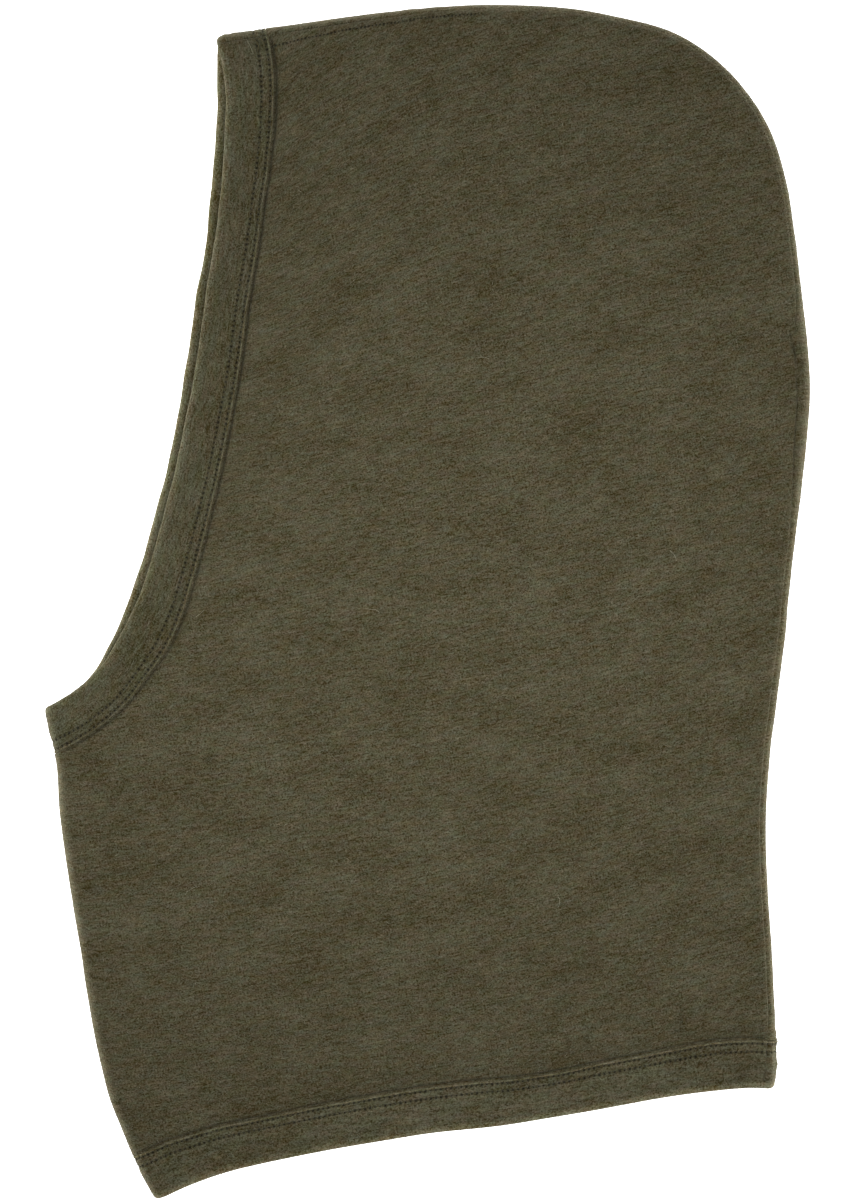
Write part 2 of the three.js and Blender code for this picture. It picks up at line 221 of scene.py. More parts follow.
def beside_edge(line, turn, across, distance, row):
    """A line beside an opening, bent at both ends to start on the fold and end on the seam."""
    spread = neck_spread if line is neck_line else face_spread

    def offset(share):
        ahead = line.at(np.minimum(share + EDGE_SMOOTHING, 1))
        heading = ahead - line.at(np.maximum(share - EDGE_SMOOTHING, 0))
        heading /= np.linalg.norm(heading, axis=-1, keepdims=True)
        inward = np.stack([-heading[..., 1], heading[..., 0]], -1)
        return line.at(share) + turn * (distance * spread(share))[..., None] * inward

    to_fold = on_fold(row) - offset(np.zeros_like(across))
    to_seam = on_seam(row) - offset(np.ones_like(across))
    near_fold = 1 - smooth(across, 0, END_BLEND)
    near_seam = smooth(across, 1 - END_BLEND, 1)
    return offset(across) + to_fold * near_fold[..., None] + to_seam * near_seam[..., None]


def plan(layer, across, row):
    """across is 0 at the front fold and 1 at the seam."""
    layer, across, row = (np.array(a, float) for a in np.broadcast_arrays(layer, across, row))
    neck_row = np.minimum(row, NECK_ZONE)
    face_row = np.maximum(row, NECK_ZONE + 1)
    share = np.clip(row - NECK_ZONE, 0, 1)[..., None]
    neck_side = beside_edge(neck_line, 1, across, neck_row, neck_row)
    face_side = np.where(
        (layer > 0)[..., None],
        beside_edge(face_upper, -1, across, LAST_ROW - face_row, face_row),
        beside_edge(face_lower, -1, across, LAST_ROW - face_row, face_row),
    )
    across = across[..., None]
    sides = mix(on_fold(row), on_seam(row), across)
    neck_ends = mix(on_fold(neck_row), on_seam(neck_row), across)
    face_ends = mix(on_fold(face_row), on_seam(face_row), across)
    return mix(neck_side, face_side, share) + sides - mix(neck_ends, face_ends, share)


# %% [markdown]
# ## The skin of the hood
#
# The outermost surface goes round in rings: from the front fold over the upper layer to the seam, and back
# under it along the lower layer. Near the fold and the seam it curls through a half turn. Everything else,
# the body, the bands and the stitches, is placed by a depth under this one skin, so the pieces can't cut
# through each other.

# %% Soft loft and shallow folds of the upper layer
LOFTS = [  # x, y, radius, height
    (30, 90, 95, 2.6),
    (0, -110, 75, 1.2),
]
FOLDS = [  # from x, from y, to x, to y, width, depth
    (44, -178, 86, -108, 9, 1.0),
    (-62, 128, -44, 152, 7, 0.8),
    (-68, 66, -48, 44, 7, 0.8),
    (-88, -190, 6, -166, 10, 0.8),
    (128, 112, 146, 92, 6, 0.9),
]


def dent(x, y, folds):
    """Depth at a point of shallow straight folds that fade at both ends."""
    total = np.zeros_like(x)
    for from_x, from_y, to_x, to_y, width, depth in folds:
        run_x, run_y = to_x - from_x, to_y - from_y
        length = math.hypot(run_x, run_y)
        along = ((x - from_x) * run_x + (y - from_y) * run_y) / length**2
        beside = ((x - from_x) * run_y - (y - from_y) * run_x) / length
        total += depth * np.exp(-(((along - 0.5) / 0.5) ** 2) - (beside / width) ** 2)
    return total


def loft(x, y):
    height = -dent(x, y, FOLDS)
    for soft_x, soft_y, radius, rise in LOFTS:
        height += rise * np.exp(-((x - soft_x) ** 2 + (y - soft_y) ** 2) / radius**2)
    return height


# %% Rings of the skin, with the way out at every point
def row_span(at, row):
    """Width of a whole row, measured square to the fold or the seam where the row meets it."""
    step = 0.02
    inward = step if at == 0 else -step
    low, high = np.maximum(row - step, 0), np.minimum(row + step, LAST_ROW)
    along = plan(UPPER, at, high) - plan(UPPER, at, low)
    along /= np.linalg.norm(along, axis=-1, keepdims=True)
    across = plan(UPPER, at + inward, row) - plan(UPPER, at, row)
    return np.abs(across[..., 0] * along[..., 1] - across[..., 1] * along[..., 0]) / step


def seam_inset(row):
    return read_table(SEAM_ROLL, side_distance(row, seam_line))


def rise_at(distance):
    """0 at the silhouette, 1 where the cloth has come round to the flat."""
    return np.sqrt(1 - (1 - np.minimum(distance / CURL_RADIUS, 1)) ** 2)


def skin(layer, across, row):
    spans = row_span(0, row), row_span(1, row)
    rise = rise_at(np.minimum(across * spans[0], (1 - across) * spans[1]))
    place = plan(layer, across, row)
    height = LAID_HEIGHT / 2 * (1 + layer * rise)
    height = height + np.where(layer > 0, rise * loft(place[..., 0], place[..., 1]), 0)
    return np.concatenate([place, height[..., None]], -1)


def unit(vectors):
    return vectors / np.linalg.norm(vectors, axis=-1, keepdims=True)


def outward_of(places, closed):
    """The way out, from a grid of rows from the neck to the face and columns from the fold to the seam."""
    side = np.roll(places, -1, 1) - np.roll(places, 1, 1) if closed else np.gradient(places, axis=1)
    return unit(np.cross(side, np.gradient(places, axis=0)))


# %% Columns of a ring
BESIDE_SEAM = [6.0, 4.6, 3.5, 2.6, 1.9, 1.35, 0.95, 0.6, 0.35, 0.15, 0.0]   # inside the seam, in mm
PAST_SEAM = [0.94, 0.86, 0.76, 0.62, 0.47, 0.33, 0.21, 0.12, 0.05, 0.012, 0.0]  # shares of the seam's inset


def ring_columns(row, upper_steps, lower_steps, curl_steps=8):
    """layer and across for every column of the rows given, which stand as a column vector."""
    fold_span, seam_span, inset = row_span(0, row), row_span(1, row), seam_inset(row)
    curl = CURL_RADIUS * (1 - np.cos(np.linspace(0, QUARTER, curl_steps + 1)))
    upper = np.linspace(0, 1, upper_steps + 1)[1:-1]
    lower = np.linspace(0, 1, lower_steps + 1)[1:-1]
    fold_end, seam_end = CURL_RADIUS / fold_span, 1 - CURL_RADIUS / seam_span
    columns = [
        (UPPER, curl / fold_span),
        (UPPER, mix(fold_end, 1 - (inset + BESIDE_SEAM[0]) / seam_span, upper)),
        (UPPER, 1 - (inset + np.array(BESIDE_SEAM)) / seam_span),
        (UPPER, 1 - inset * np.array(PAST_SEAM) / seam_span),
        (LOWER, 1 - curl[1:] / seam_span),
        (LOWER, mix(seam_end, fold_end, lower)),
        (LOWER, curl[:0:-1] / fold_span),
    ]
    layer = np.concatenate([np.full(across.shape[1], side) for side, across in columns])
    return layer[None, :], np.concatenate([across for side, across in columns], 1)


def clear_of_bands(row):
    """0 under the bands, 1 where the body has come up beside them."""
    return smooth(row, NECK_BAND_WIDTH, NECK_ZONE) * smooth(LAST_ROW - row, FACE_BAND_WIDTH, FACE_ZONE)


def body_depth(row):
    return (1 - clear_of_bands(row)) * (JERSEY + SEWN_GAP)


# %% [markdown]
# ## Meshes from grids
#
# Every cloth piece is a grid of points, which is quicker and more exact to make with arrays than by editing
# a mesh point by point. Each corner of the mesh also carries its place in the knitting, in millimetres: how
# far along a course of stitches it lies, and how far across the courses. The materials read that, so the
# heather streaks follow the cloth round its folds.

# %% From a grid of places to a mesh
def grid_quads(rows, columns, rows_close):
    """Corners of the quads as vertex numbers, and as numbers in a yarn grid with one row and column more."""
    i = np.arange(rows if rows_close else rows - 1)[:, None]
    j = np.arange(columns)[None, :]
    corners = [(i, j), (i, j + 1), (i + 1, j + 1), (i + 1, j)]
    vertex = np.stack([(a % rows) * columns + b % columns for a, b in corners], -1).reshape(-1, 4)
    yarn = np.stack([a * (columns + 1) + b for a, b in corners], -1).reshape(-1, 4)
    return vertex, yarn


def add_object(name, data):
    made = bpy.data.objects.new(name, data)
    bpy.context.scene.collection.objects.link(made)
    return made


def add_vectors(mesh, maps, domain="POINT"):
    """maps are named grids of vectors, one vector for each point or corner."""
    for title, values in maps.items():
        attribute = mesh.attributes.new(title, "FLOAT_VECTOR", domain)
        attribute.data.foreach_set("vector", np.asarray(values, np.float32).ravel())


def count_up(piece):
    mesh = piece.data
    mesh.calc_loop_triangles()
    print(f"{piece.name}: {len(mesh.vertices)} points, {len(mesh.loop_triangles)} triangles")
    return piece


def make_mesh(name, places, faces, maps, domain="POINT"):
    mesh = bpy.data.meshes.new(name)
    mesh.from_pydata((places * MM).tolist(), [], [list(map(int, face)) for face in faces])
    mesh.update()
    mesh.polygons.foreach_set("use_smooth", np.ones(len(mesh.polygons), bool))
    add_vectors(mesh, maps, domain)
    return count_up(add_object(name, mesh))


def evaluated_mesh(piece):
    """A plain mesh of what a piece looks like with its modifiers or its bevel."""
    depsgraph = bpy.context.evaluated_depsgraph_get()
    return bpy.data.meshes.new_from_object(piece.evaluated_get(depsgraph), depsgraph=depsgraph)


def signed_volume(places, quads):
    a, b, c, d = (places[quads[:, k]] for k in range(4))
    return float((a * np.cross(b, c)).sum() + (a * np.cross(c, d)).sum()) / 6


# %% [markdown]
# ## Soft unevenness
#
# Cloth that has been laid down by hand is never flat. A few sine waves of random heading and length, with a
# fixed seed, give a calm surface that is the same on every run. Sewing also pulls a jersey into small puckers
# beside a stitch row, so those are strongest at the bands and fade within a centimetre.

# %% Waves and puckers
def waves(x, y, seed, count, shortest, longest):
    random = np.random.default_rng(seed)
    total = np.zeros_like(x)
    for _ in range(count):
        heading, phase = random.uniform(0, 2 * math.pi, 2)
        length = random.uniform(shortest, longest)
        total += np.sin((x * math.cos(heading) + y * math.sin(heading)) * 2 * math.pi / length + phase)
    return total / math.sqrt(count)


PUCKER_REACH = 7.0


def puckers(x, y, row, seed):
    """Little furrows that run square to a band, strongest at its edge."""
    from_neck = np.maximum(row - NECK_BAND_WIDTH, 0)
    from_face = np.maximum(LAST_ROW - row - FACE_BAND_WIDTH, 0)
    neck = np.where(row < NECK_ZONE + 0.5, np.exp(-((from_neck / PUCKER_REACH) ** 2)), 0)
    face = np.where(row > NECK_ZONE + 0.5, np.exp(-((from_face / PUCKER_REACH) ** 2)), 0)
    beside_neck = waves(x, 0 * x, seed, 5, 7, 17)
    beside_face = waves(0 * x, y, seed + 1, 5, 7, 15)
    return neck * beside_neck + 0.7 * face * beside_face


# %% [markdown]
# ## How the courses run
#
# A course is one knitted row. On the flat hood the courses run square to the front fold and rise a little
# towards the back, and more steeply beside the top of the face opening, where the cloth is drawn up.

# %% Place of a point in the knitting
COURSE_SLOPE = 0.19
COURSE_BEND = 0.0004
TOP_PULL = 42.0
COURSE_ANGLE = math.atan(COURSE_SLOPE)


def knitting(x, y):
    pull = TOP_PULL * np.exp(-(((x + 120) / 80) ** 2) - ((y - 200) / 120) ** 2)
    along = x * math.cos(COURSE_ANGLE) + y * math.sin(COURSE_ANGLE)
    across = (y - COURSE_SLOPE * x - COURSE_BEND * x**2 / 2 + pull) * math.cos(COURSE_ANGLE)
    return along, across


# %% [markdown]
# ## The body
#
# The body is one wall of jersey, a millimetre thick. Its outer face is a fine grid, fine enough for puckers
# and for the seam, and its inner face is four times coarser, because it is seen only through the openings.
# The two are joined along the raw edges, which lie hidden in the bands.

# %% Rows and creases of the body
BODY_ROWS = 268
EDGE_ROWS = [RAW_EDGE, 6.0, 11.0, 15.0]
RAMP_ROWS = [0.0, 0.25, 0.5, 0.8, 1.15, 1.6, 2.2, 3.0, 4.1, 5.3, 6.6]
CREASES = [  # from x, from y, to x, to y, width, depth: soft lines too slight for the solid
    (-64, 168, -42, 190, 4, 1.2),
    (-108, -204, -40, -192, 6, 1.0),
    (60, -212, 66, -184, 4, 0.6),
    (-20, 150, 30, 158, 10, 0.9),
    (40, -40, 96, -8, 9, 0.8),
    (-70, -60, -20, -34, 9, 0.8),
    (142.6, 109.8, 147.2, 96.2, 0.5, 2.8),
    (141.3, 109.0, 145.8, 96.0, 0.6, -0.6),
    (147.2, 99, 148.0, 82, 0.9, 0.8),
    (147.6, 84, 146.0, 60, 0.9, 0.5),
    (118, -189, 137, -181, 5, 0.4),
    (50, -172, 90, -117, 4.5, 1.3),
    (56.4, -173, 57.6, -184, 1.6, 2.2),
    (63.4, -172, 64.4, -183, 1.6, 2.2),
    (102, -161, 102.8, -173, 1.6, 1.6),
    (38.6, -135, 39.6, -147, 1.6, 1.4),
]


def body_rows():
    neck = EDGE_ROWS + [NECK_BAND_WIDTH + step for step in RAMP_ROWS]
    face = EDGE_ROWS + [FACE_BAND_WIDTH + step for step in RAMP_ROWS]
    between = NECK_ZONE + np.linspace(0, 1, BODY_ROWS + 1)
    return np.concatenate([neck, between, LAST_ROW - np.array(face[::-1])])


# %% [markdown]
# ## The marks of sewing
#
# Three things tell that the cloth was sewn. The seam has rolled on to the upper layer and leaves a groove
# there, clear in some places and hardly seen in others. Overlocked cloth is lumpy where it is turned, most of
# all at the back of the hem. And right beside a band the stitches pull the body in. Soft light hides a groove
# that is wider than it is deep, so the grooves here are deeper than they look.

# %% Sizes of the relief, and tables of the seam
CALM = 0.28, 0.12             # height of the long waves on the upper and on the lower layer
RIPPLE = 0.07, 0.04           # the same for the short waves
PUCKER = 0.17                 # height of the puckers beside a band
CREVICE = 2.0                 # how far the stitches pull the body in, right beside a band
LOW_CREVICE = 0.65            # share of that on the lower half of the hood
SEAM_SHADOW = 1.5             # depth of the seam's groove where it shows clearly
SEAM_PUFF = 0.26              # how far the cloth stands up over the allowance
PUFF_STEPS = 0.6, 2.4, 5.5, 9.0  # past the seam, where it begins to stand up, does so fully, falls, is flat
SEAM_STRENGTH = [  # distance along the seam from the neck, how clearly the seam shows
    (0, 0.9), (30, 0.7), (60, 0.45), (110, 0.4), (205, 0.3), (255, 0.7), (280, 0.6), (300, 0.25),
    (325, 0.5), (365, 0.2), (505, 0.1), (540, 0.2), (590, 0.7), (640, 1.2),
]
LUMPS = [  # distance along the seam from the neck, half width, height of each lump on the silhouette
    (5, 2.0, 0.3), (9.5, 2.0, 0.8), (14, 1.8, 0.4), (18.5, 1.7, 0.8), (22, 1.3, 0.5), (58, 3, 0.15),
    (395, 3, 0.15), (401, 2, 0.15), (538, 4, 0.2), (548, 3.5, 0.25), (560, 5, 0.15),
    (619, 1.2, 0.3), (623, 1.2, 0.4), (628, 1.5, 0.3),
]
LUMP_REACH = 4.0              # the lumps fade over this distance from the silhouette
FAR = 99.0                    # stands for a distance too great to matter


# %% Relief of the body
def seam_lumps(row, from_seam):
    along = side_distance(row, seam_line)
    lumps = sum(height * np.exp(-(((along - at) / half) ** 2)) for at, half, height in LUMPS)
    return lumps * np.exp(-((from_seam / LUMP_REACH) ** 2))


def seam_relief(row, from_seam):
    """The groove of the seam, with the plump strip over its allowance beside it."""
    inset = seam_inset(row)
    groove = SEAM_SHADOW * np.exp(-3 * ((from_seam - inset) / GROOVE_WIDTH) ** 2)
    puff = hump(from_seam - inset, *PUFF_STEPS)
    return read_table(SEAM_STRENGTH, side_distance(row, seam_line)) * (SEAM_PUFF * puff - groove)


def beside_bands(row):
    """Distance from the nearer band, which is negative under it."""
    return np.minimum(
        np.where(row < NECK_ZONE, row - NECK_BAND_WIDTH, FAR),
        np.where(row > NECK_ZONE + 1, LAST_ROW - row - FACE_BAND_WIDTH, FAR),
    )


def body_relief(layer, x, y, row, from_seam, past_edge):
    """How far the cloth stands out from the skin, in mm."""
    upper, clear, beside = layer > 0, clear_of_bands(row), beside_bands(row)
    calm = np.where(upper, *CALM) * waves(x, y, 11, 7, 46, 120)
    ripple = np.where(upper, *RIPPLE) * waves(x, y, 12, 9, 14, 30)
    crease = ripple - np.where(upper, dent(x, y, CREASES), 0)
    seam = np.where(upper, seam_relief(row, from_seam), 0)
    pulled = PUCKER * puckers(x, y, row, 21) * smooth(clear, 0.0, 0.15)
    # close beside a band lies the crevice, which fades at the silhouette and is shallower low on the hood
    crevice = CREVICE * hump(beside, 0, 0.3, 0.45, 1.5) * smooth(past_edge, 1.5, 7.0)
    crevice = crevice * mix(LOW_CREVICE, 1.0, smooth(y, 0, 110))
    # at the silhouette the body comes up to the height of its band at once
    level = np.where(beside < 0, 0, smooth(beside, -0.3, 0.3)) * (1 - smooth(past_edge, 1.5, 5.0))
    level = (1 - clear) * level * (JERSEY + SEWN_GAP)
    lumps = seam_lumps(row, from_seam) * smooth(beside, 0.0, 0.3)
    return clear * (calm + crease + seam) + pulled - crevice + level + lumps


# %% [markdown]
# ## The dotted line on the crown
#
# Where the crown seam runs into the face band, the needle has left a line of small dark holes on the upper
# layer, slightly further in than the seam. The material paints the shade in the holes, so each
# point of the body also carries its place along that line, its distance from it, and how strongly the
# line shows.

# %% Where the crown stitches run
CROWN_STITCHES = [  # distance along the seam from the neck, distance from the silhouette
    (500, 4.8), (541, 5.1), (556, 5.9), (572, 6.4), (588, 7.4), (602, 8.4), (626, 8.8),
]
CROWN_PITCH = 1.55
CROWN_SHOWS = 514, 524, 605, 608   # along the seam, where the holes begin, show fully, fade and are gone
CROWN_RUN = 516, 606               # and from where to where there are stitches


def crown_line(row, from_seam):
    along = side_distance(row, seam_line)
    return along, from_seam - read_table(CROWN_STITCHES, along), hump(along, *CROWN_SHOWS)


# %% [markdown]
# ## Three maps for the materials
#
# The materials need to know where on the hood they are. The map "yarn" says that in millimetres of knitting.
# The map "needle" gives the place along a stitch row, the distance from it and how much it shows. The map
# "edge" gives the distance from the silhouette, the distance from the opening, and whether this is the lower
# layer of a band. These drive the painted highlight where light wraps round the curled and folded edges. On
# the lower layer the first of them grows six times as fast, so the painted highlight there is a narrow one.

# %% Build the body
LOWER_HIGHLIGHT_FALLOFF = 6.0              # how much quicker the painted highlight at the edge ends on the lower layer
LOWER_DRIFT = 0.35            # how fast the pattern of the lower layer drifts away from the upper one's
LINING_SHIFT = (0, 0, 40)     # moves the lining on to another part of the pattern
COARSER = 4                   # rows and columns of the outer face for each one of the lining


def unrolled(layer, across, row, place):
    """Seen-from-above places as if the curls at the fold and the seam were laid out flat."""
    spread = place[..., :2].copy()
    for at in (0, 1):
        span = row_span(at, row)
        distance = (across if at == 0 else 1 - across) * span
        inside = CURL_RADIUS / span
        start = plan(UPPER, at, row)
        way_out = unit(start - plan(UPPER, inside if at == 0 else 1 - inside, row))
        curl = np.arccos(1 - np.minimum(distance / CURL_RADIUS, 1))
        extra = CURL_RADIUS * (QUARTER - curl) - (CURL_RADIUS - np.minimum(distance, CURL_RADIUS))
        spread += way_out * extra[..., None]
    return spread


def close_wall(rows, columns, coarse_rows, coarse_columns):
    """Faces of a fine outer grid and of its coarse lining, and the rims that join them at both ends."""
    quads, _ = grid_quads(rows, columns, rows_close=False)
    count = len(coarse_columns)
    inner_quads, _ = grid_quads(len(coarse_rows), count, rows_close=False)
    first_inner = rows * columns
    faces = quads.tolist() + (first_inner + inner_quads[:, ::-1]).tolist()
    for end, inner_end in ((0, 0), (rows - 1, len(coarse_rows) - 1)):
        inner_start = first_inner + inner_end * count
        for k in range(count):
            start = coarse_columns[k]
            stop = coarse_columns[k + 1] if k + 1 < count else columns
            rim = [end * columns + j % columns for j in range(start, stop + 1)]
            rim += [inner_start + (k + 1) % count, inner_start + k]
            faces.append(rim[::-1] if end == 0 else rim)
    return faces


def body_maps(layer, across, row, base, from_seam, past_edge):
    spread = unrolled(layer, across, row, base)
    along, over = knitting(spread[..., 0], spread[..., 1])
    yarn = np.stack([along, over, np.where(layer > 0, 0, LOWER_DRIFT * past_edge)], -1)
    needle = np.stack([values + 0 * across for values in crown_line(row, from_seam)], -1)
    needle[..., 2] *= layer > 0
    # the distance that drives the painted highlight at the silhouette, which ends sooner on the lower layer
    painted_edge_light = np.where(layer > 0, 1.0, LOWER_HIGHLIGHT_FALLOFF) * past_edge
    edge = np.stack([painted_edge_light, 0 * painted_edge_light + FAR, 0 * painted_edge_light], -1)
    return yarn, needle, edge


def build_body():
    row = body_rows()[:, None]
    layer, across = ring_columns(row, upper_steps=171, lower_steps=52)
    base = skin(layer, across, row)
    from_seam = (1 - across) * row_span(1, row)
    past_edge = np.minimum(across * row_span(0, row), from_seam)
    relief = body_relief(layer, base[..., 0], base[..., 1], row, from_seam, past_edge)
    face = base + outward_of(base, closed=True) * (relief - body_depth(row))[..., None]
    lining = face - outward_of(face, closed=True) * JERSEY
    yarn, needle, edge = body_maps(layer, across, row, base, from_seam, past_edge)

    rows, columns = across.shape
    coarse_rows = np.unique(np.append(np.arange(0, rows, COARSER), rows - 1))
    coarse_columns = np.arange(0, columns, COARSER)
    pick = np.ix_(coarse_rows, coarse_columns)

    def both(grid, inside):
        return np.concatenate([grid.reshape(-1, 3), inside.reshape(-1, 3)])

    maps = {
        "yarn": both(yarn, yarn[pick] + LINING_SHIFT),
        "needle": both(needle, needle[pick] * (1, 1, 0)),
        "edge": both(edge, edge[pick] + FAR),
    }
    faces = close_wall(rows, columns, coarse_rows, coarse_columns)
    return make_mesh("hood_body", both(face, lining[pick]), faces, maps)


hood_body = build_body()

# %% [markdown]
# ## The bands
#
# A band is a strip of the same jersey, folded over the raw edge of the body and sewn down with a twin needle.
# Its section is a long U. Sewing shapes it: the folded-under edge stands up as a rounded ridge, each needle
# row sinks a little, and the cloth between the rows and the edge stays plump. The section is swept round the
# opening along the rings of the skin.

# %% Section of a band
NOSE = BAND_DEPTH / 2
NEEDLE_ROWS = (1.2, 4.4)     # distances of the two needle rows from the ridge
STITCH_PITCH = 2.05
ROW_DIP, ROW_HALF = 0.30, 0.42         # depth and half width of a needle row
RIDGE_RISE, RIDGE_HALF = 0.20, 0.35    # height and half width of the ridge
RIDGE_AT = 0.4
PLUMPNESS = 0.14
LEG_STEPS = [  # distances from the ridge at which the outer leg has a point
    0.5, 0.8, 1.0, 1.2, 1.4, 1.65, 2.0, 2.4, 2.8, 3.2, 3.6, 3.95, 4.2, 4.4, 4.6, 4.9, 5.3, 5.9,
    6.8, 8.0, 9.4, 11.0, 12.8, 14.6,
]
# the inner leg can do with fewer
INNER_STEPS = [0.6, 1.2, 2.0, 2.8, 3.6, 4.4, 5.2, 7.0, 9.5, 12.0, 14.6]


def leg_relief(from_ridge):
    dips = sum(np.exp(-(((from_ridge - at) / ROW_HALF) ** 2)) for at in NEEDLE_ROWS)
    ridge = np.exp(-(((from_ridge - RIDGE_AT) / RIDGE_HALF) ** 2))
    return float(PLUMPNESS * smooth(from_ridge, 4.6, 7.5) + RIDGE_RISE * ridge - ROW_DIP * dips)


def band_section(width):
    """Distance from the opening, depth under the skin, and side for each point: 1 outer leg, -1 inner leg."""
    points = [(width, 0.62, 0), (width - 0.02, 0.4, 0), (width - 0.12, 0.17, 1), (width - 0.28, 0.04, 1)]
    points += [(width - step, -leg_relief(step), 1) for step in LEG_STEPS if width - step > NOSE + 0.4]
    for angle in np.linspace(0, math.pi, 11):
        side = 1 if angle < QUARTER else -1
        points.append((NOSE * (1 - math.sin(angle)), NOSE * (1 - math.cos(angle)), side))
    inner = [width - step for step in INNER_STEPS if width - step > NOSE + 0.4][::-1]
    points += [(start, BAND_DEPTH + 0.6 * leg_relief(width - start), -1) for start in inner]
    points += [(width - 0.15, BAND_DEPTH - 0.1, -1), (width, BAND_DEPTH - 0.5, 0)]
    points.append((width - 0.1, BAND_DEPTH - JERSEY, 0))
    points += [(width * share, BAND_DEPTH - JERSEY, 0) for share in (0.7, 0.4)]
    points += [(NOSE - SEWN_GAP, BAND_DEPTH - JERSEY, 0), (NOSE - SEWN_GAP, JERSEY, 0)]
    points += [(width * share, JERSEY, 0) for share in (0.4, 0.7)]
    points.append((width - 0.12, JERSEY - 0.05, 0))
    return np.array(points)


# %% Unevenness of a band
SEAM_CROSSING = 0.95         # depth of the groove where the seam runs on over a band
CROSSING_WIDTH = 0.55
BAND_RIPPLE = 0.05           # height of the slanting ripples of a band
BAND_SLACK = 0.10            # height of the long waves
BAND_CREASES = [  # from x, from y, to x, to y, width, depth
    (-82, 215.8, -68, 218.2, 1.5, 0.5),
    (-69.4, 223.6, -69.2, 219.2, 0.5, 0.8),
    (-67.0, 224.2, -67.0, 219.8, 0.5, 0.8),
    (-65.0, 224.4, -65.0, 220.4, 0.5, 0.8),
    (122, -186.8, 134.5, -191.5, 1.9, 0.5),
    (138.4, -192, 138.6, -176, 0.8, 0.8),
    (60, -184, 66, -180, 2.5, 0.35),
    (-30, -209, -26, -198, 2.5, 0.3),
]


def band_lift(base, layer, leg, start, row, along, from_seam, seed):
    """How far the legs of a band stand out from their section, in mm."""
    run, far = along[None, :-1] + 0 * row, start[:, None] + 0 * from_seam
    ripple = BAND_RIPPLE * np.sin(2 * math.pi * (run / 6.3 + far / 11))
    slack = BAND_SLACK * waves(run, far, seed, 6, 9, 34)
    crossing = SEAM_CROSSING * np.exp(-(((from_seam - seam_inset(row)) / CROSSING_WIDTH) ** 2))
    creases = dent(base[..., 0], base[..., 1], BAND_CREASES)
    uneven = ripple + slack - (crossing + creases) * (layer > 0)
    lumps = seam_lumps(row, from_seam) * np.abs(leg)[:, None] * (layer > 0)
    return uneven * (leg * smooth(start, 0.6, 3.0))[:, None] + lumps


def band_maps(width, start, depth, leg, layer, past_edge, along, seed):
    """The three maps, with one row and one column more than the grid, as it closes on itself both ways."""
    section = np.concatenate([[0], np.cumsum(np.hypot(np.diff(start), np.diff(depth)))])
    run, over = np.broadcast_arrays(along[None, :], np.append(section, section[-1] + 1)[:, None])
    from_ridge, shows = np.append(width - start, 0)[:, None], np.append(np.abs(leg), 0)[:, None]
    # the distance that drives the painted highlight at the silhouette, which ends sooner on the lower layer
    painted_edge_light = np.pad(np.where(layer > 0, 1.0, LOWER_HIGHLIGHT_FALLOFF) * past_edge, ((0, 1), (0, 1)), "wrap")
    from_opening = np.append(start, start[0])[:, None]
    under = np.append(layer[0], layer[0, 0])[None, :] < 0
    return {
        "yarn": np.stack([run, over, np.full(run.shape, 10.0 * seed)], -1),
        "needle": np.stack([run, from_ridge + 0 * run, shows + 0 * run], -1),
        "edge": np.stack([painted_edge_light, from_opening + 0 * run, under + 0 * run], -1),
    }


# %% Build a band
NUDGE = 0.15                 # a small step between rows, to find which way is out
WOBBLE = 0.16                # how far the edge of a band strays from its line
MEASURED_AT = 2.8            # the length of a band is measured at this distance from its ridge


def build_band(name, width, row_at, seed):
    """Returns the band and, for each needle row of both legs, its line of places and of ways out."""
    start, depth, leg = band_section(width).T
    row = row_at(start)[:, None]
    layer, across = ring_columns(row, upper_steps=181, lower_steps=181)
    base = skin(layer, across, row)
    step = skin(layer, across, np.clip(row + NUDGE, 0, LAST_ROW))
    step -= skin(layer, across, np.clip(row - NUDGE, 0, LAST_ROW))
    out = unit(np.cross(np.roll(base, -1, 1) - np.roll(base, 1, 1), step))
    inward = unit(step) * np.sign(row_at(1.0) - row_at(0.0))
    outer_leg = start[:20]
    guide = base[int(np.argmin(np.abs(outer_leg - (width - MEASURED_AT))))]
    hops = np.linalg.norm(np.diff(guide, axis=0, append=guide[:1]), axis=1)
    along = np.concatenate([[0], np.cumsum(hops)])
    from_seam = (1 - across) * row_span(1, row)
    lift = band_lift(base, layer, leg, start, row, along, from_seam, seed)
    run = along[None, :-1] + 0 * row
    wobble = WOBBLE * waves(run, 0 * run, seed + 1, 6, 11, 46) * (1 - smooth(start, NOSE, 5.0))[:, None]
    places = base + out * (lift - depth[:, None])[..., None] - inward * wobble[..., None]

    quads, corners = grid_quads(*across.shape, rows_close=True)
    if signed_volume(places.reshape(-1, 3), quads) < 0:
        quads, corners = quads[:, ::-1], corners[:, ::-1]
    past_edge = np.minimum(across * row_span(0, row), from_seam)
    grids = band_maps(width, start, depth, leg, layer, past_edge, along, seed)
    maps = {title: grid.reshape(-1, 3)[corners.ravel()] for title, grid in grids.items()}
    band = make_mesh(name, places.reshape(-1, 3), quads, maps, "CORNER")
    lines = []
    for side in (1, -1):
        for at in NEEDLE_ROWS:
            on_side = np.where(leg == side)[0]
            k = on_side[np.argmin(np.abs(width - start[on_side] - at))]
            lines.append((side, places[k], out[k] * side, along))
    return band, lines


face_binding, face_lines = build_band("face_binding", FACE_BAND_WIDTH, lambda start: LAST_ROW - start, 31)
neck_binding, neck_lines = build_band("neck_binding", NECK_BAND_WIDTH, lambda start: start + 0.0, 41)

# %% [markdown]
# ## The seam allowance
#
# Inside the crown and the back, the two cut edges lie together, trimmed and overlocked. On a real hood they
# make a soft strip with a scalloped edge, where each loop of thread pulls the cloth in. It is swept like a
# band, but along the seam and with a rounded section.

# %% Build the seam allowance
OVERLOCK_PITCH = 2.3
LOOP_PINCH = 0.22            # how much thinner each loop of thread makes the free edge, as a share
SCALLOP = 0.2                # how far the free edge swings between two loops
ALLOWANCE_SLACK = 0.25       # how far it strays in long waves


